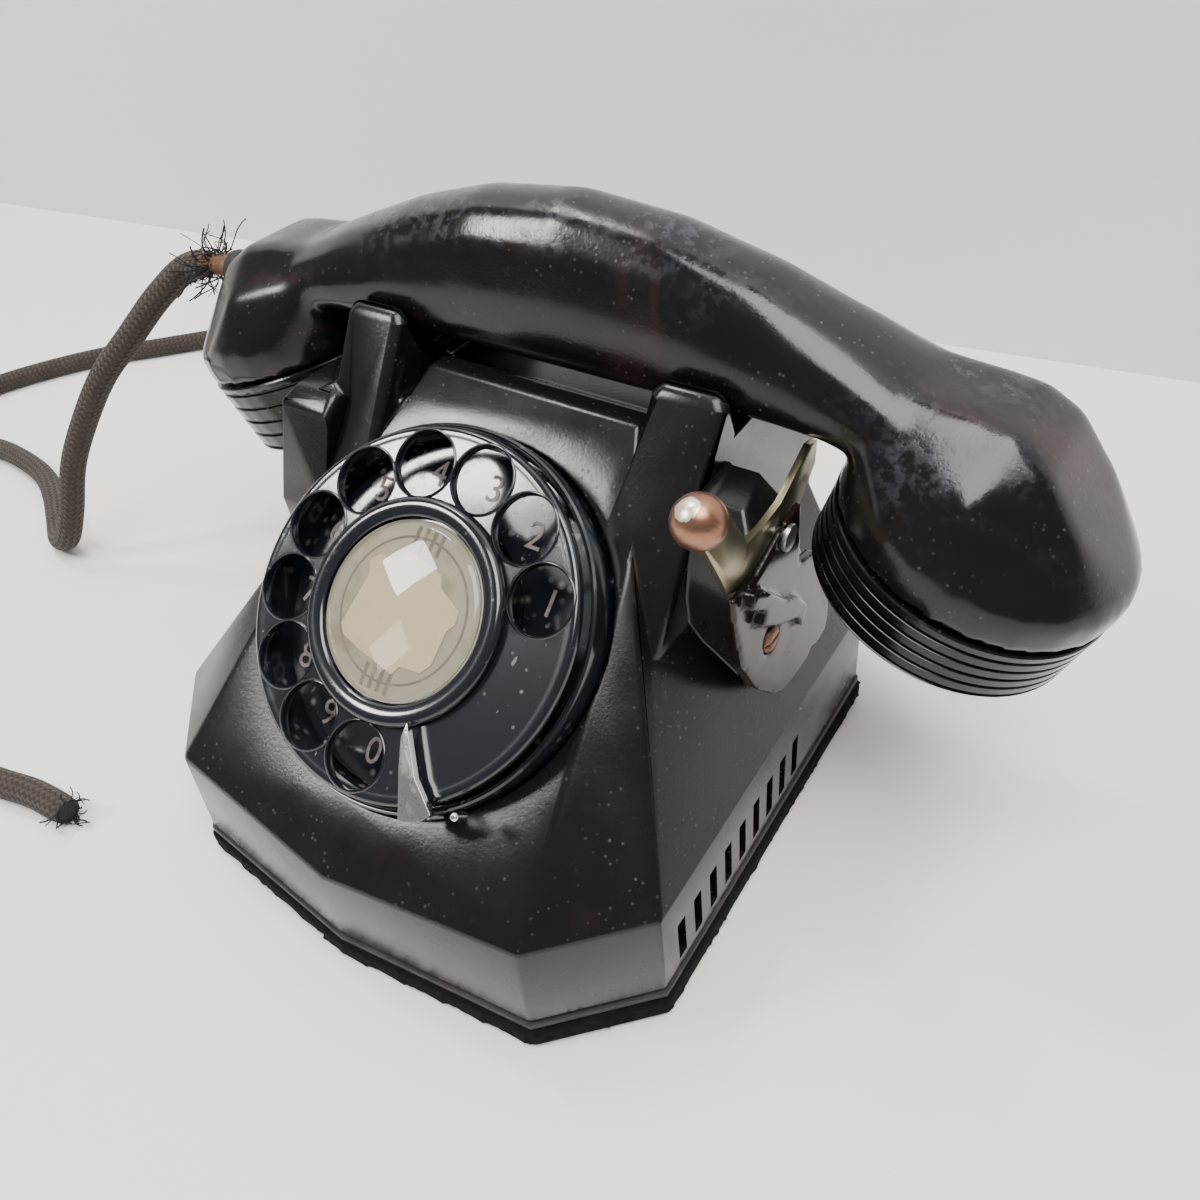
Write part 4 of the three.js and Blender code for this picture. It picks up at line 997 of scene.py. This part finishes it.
class TELEPHONE_OT_case(bpy.types.Operator):
    """Makes the moulded case, its floor plate and the felt pad"""

    bl_idname = "telephone.case"
    bl_label = "Case"

    def execute(self, context):
        shell = copy_of("case", "case_moulding")
        round_chosen(shell, sizes().horn_edge, 4, self.on_horn, SHARP_ANGLE)
        round_chosen(shell, sizes().case_edge, 3, lambda p: not self.on_horn(p) and not self.at_slot(p))
        smooth(shell, CASE_SHADE)
        finish_piece(shell, "base", finish("moulding"), "bakelite", "case")
        plate = copy_of("base_plate", "floor_plate")
        round_edges(plate, PLATE_EDGE, 1, SHARP_ANGLE)
        finish_piece(plate, "base", finish("plate_paint"), "plate_paint", "base_plate")
        self.make_felt()
        return {"FINISHED"}

    @staticmethod
    def on_horn(place):
        """Whether a place, in millimetres, is on one of the cradle's front horns."""
        return HORN_SIDES[0] < abs(place.x) < HORN_SIDES[1] and place.z > HORN_FOOT and place.y < HORN_BACK

    @staticmethod
    def at_slot(place):
        """Whether a place, in millimetres, is at the slots in the sides, whose edges stay sharp."""
        level = SLOT_HEIGHTS[0] < place.z < SLOT_HEIGHTS[1]
        return abs(place.x) > SLOT_SIDE and level and SLOT_RUN[0] < place.y < SLOT_RUN[1]

    def make_felt(self):
        """The pad's edge is left uneven, and its foot stays flat on the table."""
        felt = copy_of("base_felt", "felt_pad")
        edit(felt)
        bpy.ops.mesh.quads_convert_to_tris()
        leave_edit()
        apply_modifier(felt, "REMESH", mode="VOXEL", voxel_size=FELT_VOXEL)
        low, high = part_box("base_felt")
        source = random.Random(FELT_SEED)
        for vertex in felt.data.vertices:
            if vertex.co.z > low.z + FELT_FOOT:
                vertex.co.x += source.gauss(0, FELT_FUZZ)
                vertex.co.y += source.gauss(0, FELT_FUZZ)
                vertex.co.z = min(vertex.co.z + source.gauss(0, FELT_LUMPS), high.z)
        smooth(felt, FELT_SHADE)
        finish_piece(felt, "base", finish("felt"), "felt", "base_felt")


# ---------------------------------------------------------------- handset
HANDSET_ROUNDS = 16
GROOVE_COUNT = 5
GROOVE_DEPTH = 0.7
GROOVE_HALF = 0.45
CAP_WALL = 3.6
CAP_FLOOR = 3.0
CAP_STEPS = 120
RIB_EVERY = 4
RIB_DEPTH = 0.006
HOLE_DRILL = 0.0011
DRILL_DEPTH = 0.012
DRILL_SIDES = 16
CAP_SHADE = 40
BUSHING_EDGE = 0.0003
# side, height, how much it narrows, name, the node it replaces, and rings of sound holes (radius, count)
CAPS = (
    (1, 15.0, 0.03, "receiver_cap_grooved", "receiver_cap", [(0, 1), (6, 6)]),
    (-1, 20.5, 0.17, "transmitter_cap_grooved", "transmitter_cap", [(0, 1), (5, 6), (10, 10)]),
)


def grooved_cap(height, taper, name, ribs):
    """Screw-on cap with grip grooves round it and, on the mouthpiece, fine ribs up its side."""
    pitch = (height - 4.4) / (GROOVE_COUNT - 1)

    def radius_at(z):
        return CAP_RADIUS - 0.3 + taper * z

    foot = radius_at(-height)
    profile = [(0, -height), (foot - 9, -height), (foot - 3.4, -height + 0.05),
               (foot - 1.6, -height + 0.35), (foot - 0.5, -height + 0.9), (foot, -height + 1.6)]
    for index in range(GROOVE_COUNT):
        z = -height + 2.2 + index * pitch
        for depth, rise in ((0, -GROOVE_HALF), (0.15, -0.36), (GROOVE_DEPTH, -0.15),
                            (GROOVE_DEPTH, 0.15), (0.15, 0.36), (0, GROOVE_HALF)):
            profile.append((radius_at(z) - depth, z + rise))
    inner = foot - CAP_WALL
    roof = -height + CAP_FLOOR
    profile += [(CAP_RADIUS - 0.2, -0.3), (CAP_RADIUS - 0.5, 0), (inner, 0), (inner, roof), (0, roof)]
    cap = turned(name, profile, CAP_STEPS)
    if ribs:
        for vertex in cap.data.vertices:
            radius = math.hypot(vertex.co.x, vertex.co.y)
            if radius > (foot - 1.7) * MM and -height * MM + 0.001 < vertex.co.z < -0.0004:
                angle = math.atan2(vertex.co.y, vertex.co.x)
                if round(angle / TURN * CAP_STEPS) % RIB_EVERY == 0:
                    vertex.co.x *= 1 - RIB_DEPTH
                    vertex.co.y *= 1 - RIB_DEPTH
    return cap


def sound_holes(cap, height, rows):
    """Drills the rings of small holes in a cap's face."""
    drills = []
    for radius, count in rows:
        for index in range(count):
            angle = index / count * TURN
            clear_selection()
            bpy.ops.mesh.primitive_cylinder_add(
                vertices=DRILL_SIDES, radius=HOLE_DRILL, depth=DRILL_DEPTH,
                location=(radius * MM * math.cos(angle), radius * MM * math.sin(angle), -height * MM),
            )
            drill = bpy.context.object
            drill.data.transform(drill.matrix_world)
            drill.matrix_world = Matrix.Identity(4)
            drills.append(drill)
    cutter = joined("drills", drills)
    apply_modifier(cap, "BOOLEAN", operation="DIFFERENCE", object=cutter, solver="EXACT")
    bpy.data.objects.remove(cutter)
    return cap


class TELEPHONE_OT_handset(bpy.types.Operator):
    """Makes the handset's rounded handle, its two caps and the cord's bushing"""

    bl_idname = "telephone.handset"
    bl_label = "Handset"

    def execute(self, context):
        handle = copy_of("handset", "handset_moulding")
        soften(handle, sizes().handset_voxel, HANDSET_ROUNDS)
        finish_piece(handle, "handset", finish("moulding_worn"), "bakelite", "handset")
        for side, height, taper, name, node, rows in CAPS:
            cap = sound_holes(grooved_cap(height, taper, name, side < 0), height, rows)
            cap.data.transform(cap_frame(side))
            smooth(cap, CAP_SHADE)
            finish_piece(cap, "handset", finish("moulding_worn"), "bakelite", node)
        bushing = copy_of("handset_bushing", "handset_cord_bushing")
        round_edges(bushing, BUSHING_EDGE, 2)
        finish_piece(bushing, "handset", finish("rubber"), "rubber", "handset_bushing")
        return {"FINISHED"}


# ---------------------------------------------------------------- dial
# profiles are (radius, height) from the dial's centre, in millimetres
BOWL_PROFILE = [
    (3.6, -13), (39.6, -13), (39.9, -12.6), (39.9, -3.6), (39.75, -2.95), (39.3, -2.62), (38.8, -2.75),
    (38.4, -3.3), (38.2, -4.2), (38.2, -10.6), (37.6, -11.4), (3.6, -11.5), (3.6, -13),
]
PLATE_PROFILE = [
    (21, -10.6), (37.0, -10.6), (37.0, -9.7), (36.7, -9.42), (23, -9.4), (21.6, -9.5), (21, -9.8),
    (21, -10.6),
]
WHEEL_PROFILE = [
    (0, -0.4), (36.6, -0.4), (37.1, -0.6), (37.5, -1.0), (37.8, -1.15), (38.05, -0.9), (38.1, -0.4),
    (38.05, 0.2), (37.8, 0.7), (37.3, 1.0), (36.6, 1.05), (36.0, 0.95), (35.4, 0.9), (0, 0.9),
]
# a finger hole's rim: how far outside the hole's own radius, and the height
RIM_PROFILE = [
    (0.25, -0.85), (0.08, -0.95), (0, -0.7), (0, 0.75), (0.06, 1.08), (0.2, 1.24), (0.42, 1.2),
    (0.6, 1.04), (0.72, 0.84), (0.4, 0.2), (0.4, -0.45), (0.25, -0.85),
]
RING_PROFILE = [
    (19.1, 1.25), (22.9, 1.4), (23.05, 1.7), (22.95, 2.2), (22.6, 2.75), (22.0, 3.1), (21.2, 3.2),
    (20.3, 3.1), (19.4, 2.85), (18.9, 2.6), (18.75, 2.4), (19.1, 1.25),
]
BACKING_PROFILE = [(0, 1.2), (18.35, 1.2), (18.35, 1.36), (18.2, 1.42), (0, 1.42)]
WINDOW_PROFILE = [
    (0, 1.95), (17.9, 1.95), (18.2, 2.05), (18.2, 2.2), (16.4, 2.62), (13.6, 3.08), (10.2, 3.45),
    (6.6, 3.68), (3.2, 3.79), (0, 3.82),
]
PRINTED_RING = [(14.4, 1.43), (14.9, 1.43), (14.9, 1.47), (14.4, 1.47), (14.4, 1.43)]
PRINTED_BARS = ((-3.0, 9.5), (-1.0, 12.0), (1.0, 12.0), (3.0, 9.5))
PAPER_OUTLINE = [
    (-10.6, -11.2), (-12.3, -9.4), (-11.6, 3.0), (-13.2, 5.4), (-11.4, 7.8), (-7.2, 8.3), (-5.6, 11.6),
    (4.8, 10.6), (6.4, 8.2), (12.6, 6.2), (13.4, 3.4), (12.2, 1.4), (12.8, -6.2), (11.2, -9.0),
    (6.2, -10.2), (5.2, -12.6), (-4.8, -12.0),
]
PAPER_HEIGHT = 1.5
PAPER_THICKNESS = 0.00016
PAPER_TURN = math.radians(-8)
PAPER_SCALE = 0.93
PAPER_EDGE = 0.00003
WHEEL_STEPS = 160
BOWL_STEPS = 128
CARD_STEPS = 96
PRINT_STEPS = 72
RIM_STEPS = 56
HOLE_CLEARANCE = 0.15
DRILL_REACH = 3
BOWL_SHADE = 40
WHEEL_SHADE = 35
RING_SHADE = 50
STOP_EDGE = 0.0004
PIN_EDGE = 0.00012
DIGIT_SIZE = 0.0082
DIGIT_THICKNESS = 0.00004
DIGIT_LEFT = 3.2
DIGIT_DOWN = 0.4
DIGIT_HEIGHT = -0.0093


def hole_place(index):
    """The centre of a finger hole on the dial, in millimetres."""
    angle = HOLE_PHASE + index * HOLE_STEP
    return HOLE_CIRCLE * math.cos(angle), HOLE_CIRCLE * math.sin(angle)


class TELEPHONE_OT_dial_bowl(bpy.types.Operator):
    """Makes the dial's bowl, the number plate and its digits"""

    bl_idname = "telephone.dial_bowl"
    bl_label = "Dial bowl"

    def execute(self, context):
        bowl = turned("dial_bowl", BOWL_PROFILE, BOWL_STEPS, DIAL_FRAME)
        smooth(bowl, BOWL_SHADE)
        finish_piece(bowl, "base", finish("dusty_enamel"), "enamel", "dial_cup")
        plate = turned("number_plate_enamel", PLATE_PROFILE, CARD_STEPS, DIAL_FRAME)
        smooth(plate, BOWL_SHADE)
        finish_piece(plate, "base", finish("dusty_enamel"), "enamel", "number_plate")
        for index in range(HOLE_COUNT):
            self.make_digit(index)
        return {"FINISHED"}

    def make_digit(self, index):
        """One digit printed on the number plate, set a little to the left of its hole's centre."""
        x, y = hole_place(index)
        clear_selection()
        bpy.ops.object.text_add()
        text = bpy.context.object
        text.data.body = str((index + 1) % 10)
        text.data.size = DIGIT_SIZE
        text.data.align_x = "CENTER"
        text.data.align_y = "CENTER"
        text.data.extrude = DIGIT_THICKNESS
        text.data.resolution_u = 6
        bpy.ops.object.convert(target="MESH")
        digit = named(bpy.context.object, f"dial_digit_{(index + 1) % 10}")
        place = Matrix.Translation(((x - DIGIT_LEFT) * MM, (y - DIGIT_DOWN) * MM, DIGIT_HEIGHT))
        digit.data.transform(DIAL_FRAME @ place)
        digit.matrix_world = Matrix.Identity(4)
        finish_piece(digit, "base", finish("digits"), "enamel")


class TELEPHONE_OT_finger_wheel(bpy.types.Operator):
    """Makes the finger wheel with its rolled holes"""

    bl_idname = "telephone.finger_wheel"
    bl_label = "Finger wheel"

    def execute(self, context):
        wheel = turned("finger_wheel_enamel", WHEEL_PROFILE, WHEEL_STEPS)
        drills = []
        rims = []
        edge = HOLE_RADIUS + HOLE_CLEARANCE
        drill = [(0, -DRILL_REACH), (edge, -DRILL_REACH), (edge, DRILL_REACH), (0, DRILL_REACH)]
        rim = [(HOLE_RADIUS + out, height) for out, height in RIM_PROFILE]
        for index in range(HOLE_COUNT):
            x, y = hole_place(index)
            spot = Matrix.Translation((x * MM, y * MM, 0))
            drills.append(turned(f"drill_{index}", drill, RIM_STEPS, spot))
            rims.append(turned(f"rim_{index}", rim, RIM_STEPS, spot))
        cutter = joined("drills", drills)
        apply_modifier(wheel, "BOOLEAN", operation="DIFFERENCE", object=cutter, solver="EXACT")
        bpy.data.objects.remove(cutter)
        wheel = joined("finger_wheel_enamel", [wheel, *rims])
        wheel.data.transform(DIAL_FRAME)
        smooth(wheel, WHEEL_SHADE)
        finish_piece(wheel, "dial", finish("enamel"), "enamel", "finger_wheel")
        return {"FINISHED"}


class TELEPHONE_OT_dial_card(bpy.types.Operator):
    """Makes the ring, the paper card with its print and the clear window"""

    bl_idname = "telephone.dial_card"
    bl_label = "Dial card"

    def execute(self, context):
        ring = turned("card_ring_enamel", RING_PROFILE, BOWL_STEPS, DIAL_FRAME)
        smooth(ring, RING_SHADE)
        finish_piece(ring, "dial", finish("enamel"), "enamel", "card_ring")
        backing = turned("card_backing", BACKING_PROFILE, CARD_STEPS, DIAL_FRAME)
        smooth(backing, BOWL_SHADE)
        finish_piece(backing, "dial", finish("backing"), "card", "number_card")
        self.make_print()
        self.make_paper()
        window = turned("card_window_dome", WINDOW_PROFILE, CARD_STEPS, DIAL_FRAME)
        make_active(window)
        bpy.ops.object.shade_smooth()
        finish_piece(window, "dial", finish("window"), "window", "card_window")
        return {"FINISHED"}

    def make_print(self):
        """Faded ring and bars printed on the backing."""
        pieces = [turned("printed_ring", PRINTED_RING, PRINT_STEPS)]
        for offset, length in PRINTED_BARS:
            for side in (-1, 1):
                clear_selection()
                bpy.ops.mesh.primitive_cube_add(size=1)
                bar = bpy.context.object
                centre = side * (16.6 - length / 4)
                place = Matrix.Translation((offset * MM, centre * MM, 1.45 * MM))
                bar.data.transform(place @ Matrix.Diagonal((0.0009, length / 2 * MM, 0.00004, 1)))
                pieces.append(bar)
        mark = joined("printed_mark", pieces)
        mark.data.transform(DIAL_FRAME)
        finish_piece(mark, "dial", finish("print"), "card")

    def make_paper(self):
        """Aged paper card with cut corners and a worn edge."""
        clear_selection()
        bpy.ops.mesh.primitive_circle_add(vertices=len(PAPER_OUTLINE), radius=0.01, fill_type="NGON")
        paper = named(bpy.context.object, "paper_card")
        for vertex, (x, y) in zip(paper.data.vertices, PAPER_OUTLINE):
            vertex.co = Vector((x, y, PAPER_HEIGHT)) * MM
        edit(paper)
        bpy.ops.mesh.normals_make_consistent(inside=False)
        bpy.ops.mesh.extrude_region_move(TRANSFORM_OT_translate={"value": (0, 0, PAPER_THICKNESS)})
        bpy.ops.mesh.select_all(action="SELECT")
        bpy.ops.mesh.normals_make_consistent(inside=False)
        leave_edit()
        round_edges(paper, PAPER_EDGE, 1, SHARP_ANGLE)
        shrunk = Matrix.Diagonal((PAPER_SCALE, PAPER_SCALE, 1, 1))
        paper.data.transform(DIAL_FRAME @ Matrix.Rotation(PAPER_TURN, 4, "Z") @ shrunk)
        finish_piece(paper, "dial", finish("paper"), "card")


class TELEPHONE_OT_finger_stop(bpy.types.Operator):
    """Makes the finger stop and the pin beside it"""

    bl_idname = "telephone.finger_stop"
    bl_label = "Finger stop"

    def execute(self, context):
        stop = copy_of("finger_stop", "finger_stop_plated")
        round_edges(stop, STOP_EDGE, 3)
        finish_piece(stop, "base", finish("chrome"), "stop_chrome", "finger_stop")
        pin = copy_of("stop_pin", "stop_pin_plated")
        round_edges(pin, PIN_EDGE)
        finish_piece(pin, "base", finish("chrome"), "steel", "stop_pin")
        return {"FINISHED"}


# ---------------------------------------------------------------- hand lever
BRACKET_VOXEL = 0.00055
BRACKET_ROUNDS = 5
KNOB_FLAT = 0.9
KNOB_TILT = math.radians(24)
# the painted highlight on the knob: its centre from the ball's middle, and its radius
HIGHLIGHT_SPOT_PLACE = Vector((-0.0012, -0.0026, 0.0043))
HIGHLIGHT_SPOT_RADIUS = 0.0024


def knob_material():
    """Copper-brown ball with tarnished patches and a pale disc on its upper front left, which is a painted
    highlight, raised a little by the bump.
    """
    low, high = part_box("lever_knob")
    material, net, shader = new_material("Worn knob", Metallic=0.85)
    place = net.place()
    away = net.add("ShaderNodeVectorMath", operation="DISTANCE")
    net.put(place, away.inputs[0])
    away.inputs[1].default_value = (low + high) / 2 + HIGHLIGHT_SPOT_PLACE
    ragged = net.math("MULTIPLY", net.math("SUBTRACT", net.noise(place, 700.0, 3.0), 0.5), 0.0016)
    # painted highlight: a pale disc where the left lamp's reflection falls on the ball, also raised by the
    # bump below
    painted_highlight = net.math("LESS_THAN", net.math("ADD", away.outputs["Value"], ragged), HIGHLIGHT_SPOT_RADIUS)
    patch = use_group(net, "Blotches", place, Scale=210.0, Cover=0.6)
    colour = net.blend(patch, (0.30, 0.15, 0.095), (0.13, 0.06, 0.04))
    net.put(net.blend(painted_highlight, colour, (0.62, 0.58, 0.46)), shader["Base Color"])
    net.put(net.math("ADD", 0.3, net.math("MULTIPLY", patch, 0.15)), shader["Roughness"])
    grain = use_group(net, "Fine Grain", place, Scale=1100.0, Depth=1.0)
    net.put(net.bump(net.math("ADD", grain, painted_highlight), 0.00006, 0.6), shader["Normal"])
    return material


class TELEPHONE_OT_side_lever(bpy.types.Operator):
    """Makes the lever, its ball, the bracket on the cheek, its screw and the pivot pin"""

    bl_idname = "telephone.side_lever"
    bl_label = "Side lever"

    def execute(self, context):
        edge = sizes().small_edge
        bracket = copy_of("lever_bracket", "lever_bracket_moulding")
        soften(bracket, BRACKET_VOXEL, BRACKET_ROUNDS)
        finish_piece(bracket, "base", finish("brown_moulding"), "bakelite_brown", "lever_bracket")
        lever = copy_of("side_lever", "side_lever_strip")
        round_edges(lever, edge, 2)
        finish_piece(lever, "side_lever", finish("lever_brass"), "lever_brass", "side_lever")
        low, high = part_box("lever_knob")
        centre = (low + high) / 2
        radius = (high.z - low.z) / 2
        clear_selection()
        bpy.ops.mesh.primitive_uv_sphere_add(segments=64, ring_count=40, radius=radius)
        knob = named(bpy.context.object, "lever_knob_ball")
        flat = -radius * KNOB_FLAT
        for vertex in knob.data.vertices:
            if vertex.co.z < flat:
                vertex.co.z = flat
        knob.data.transform(Matrix.Translation(centre) @ Matrix.Rotation(KNOB_TILT, 4, "X"))
        make_active(knob)
        bpy.ops.object.shade_smooth()
        finish_piece(knob, "side_lever", knob_material(), "knob", "lever_knob")
        screw = copy_of("bracket_screw", "bracket_screw_head")
        round_edges(screw, edge, 2)
        finish_piece(screw, "base", finish("rust"), "steel", "bracket_screw")
        pivot = copy_of("lever_pivot", "lever_pivot_pin")
        round_edges(pivot, edge, 2)
        finish_piece(pivot, "base", finish("steel"), "steel", "lever_pivot")
        return {"FINISHED"}


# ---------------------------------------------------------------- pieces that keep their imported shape
KEPT = {
    "steel": ["dial_frame", "governor_post_a", "governor_post_b", "ringer_frame", "hook_bracket",
              "hook_bar", "dial_shaft", "clapper", "base_screw_1", "base_screw_2", "base_screw_3",
              "base_screw_4"],
    "brass": ["spring_housing", "main_gear", "governor", "gong_left", "gong_right"],
    "copper": ["coil_left", "coil_right", "induction_coil"],
    "can_paint": ["condenser"],
    "brown_moulding": ["terminal_block", "contact_stack", "pulse_springs", "pulse_cam"],
    "moulding": ["plunger_left", "plunger_right"],
    "rubber": ["line_bushing", "spare_inlet_bushing"],
    "aluminium": ["receiver_unit", "transmitter_unit"],
}


class TELEPHONE_OT_inner_parts(bpy.types.Operator):
    """Gives the ringer, the dial's movement and the other inner pieces their finishes"""

    bl_idname = "telephone.inner_parts"
    bl_label = "Inner parts"

    def execute(self, context):
        for look, names in KEPT.items():
            for name in names:
                node = NODES[name]
                node.data.materials.clear()
                node.data.materials.append(finish(look))
        return {"FINISHED"}


STEPS = (
    "stage", "cords", "case", "handset", "dial_bowl", "finger_wheel", "dial_card", "finger_stop",
    "side_lever", "inner_parts",
)


class TELEPHONE_PT_panel(bpy.types.Panel):
    """Lists the telephone's pieces"""

    bl_label = "Telephone"
    bl_idname = "TELEPHONE_PT_panel"
    bl_space_type = "VIEW_3D"
    bl_region_type = "UI"
    bl_category = "Telephone"

    def draw(self, context):
        for group in (context.scene.telephone_sizes, context.scene.telephone_colours):
            for name in group.bl_rna.properties.keys():
                if name not in ("rna_type", "name"):
                    self.layout.prop(group, name)
        for step in STEPS:
            self.layout.operator(f"telephone.{step}")


CLASSES = (
    TelephoneSizes, TelephoneColours, TELEPHONE_OT_stage, TELEPHONE_OT_cords, TELEPHONE_OT_case,
    TELEPHONE_OT_handset, TELEPHONE_OT_dial_bowl, TELEPHONE_OT_finger_wheel, TELEPHONE_OT_dial_card,
    TELEPHONE_OT_finger_stop, TELEPHONE_OT_side_lever, TELEPHONE_OT_inner_parts, TELEPHONE_PT_panel,
)


def register():
    for cls in CLASSES:
        bpy.utils.register_class(cls)
    bpy.types.Scene.telephone_sizes = bpy.props.PointerProperty(type=TelephoneSizes)
    bpy.types.Scene.telephone_colours = bpy.props.PointerProperty(type=TelephoneColours)


def unregister():
    del bpy.types.Scene.telephone_colours
    del bpy.types.Scene.telephone_sizes
    for cls in reversed(CLASSES):
        bpy.utils.unregister_class(cls)


def main():
    register()
    for step in STEPS:
        getattr(bpy.ops.telephone, step)()
    clear_selection()
    bpy.context.view_layer.update()


if __name__ == "__main__":
    main()
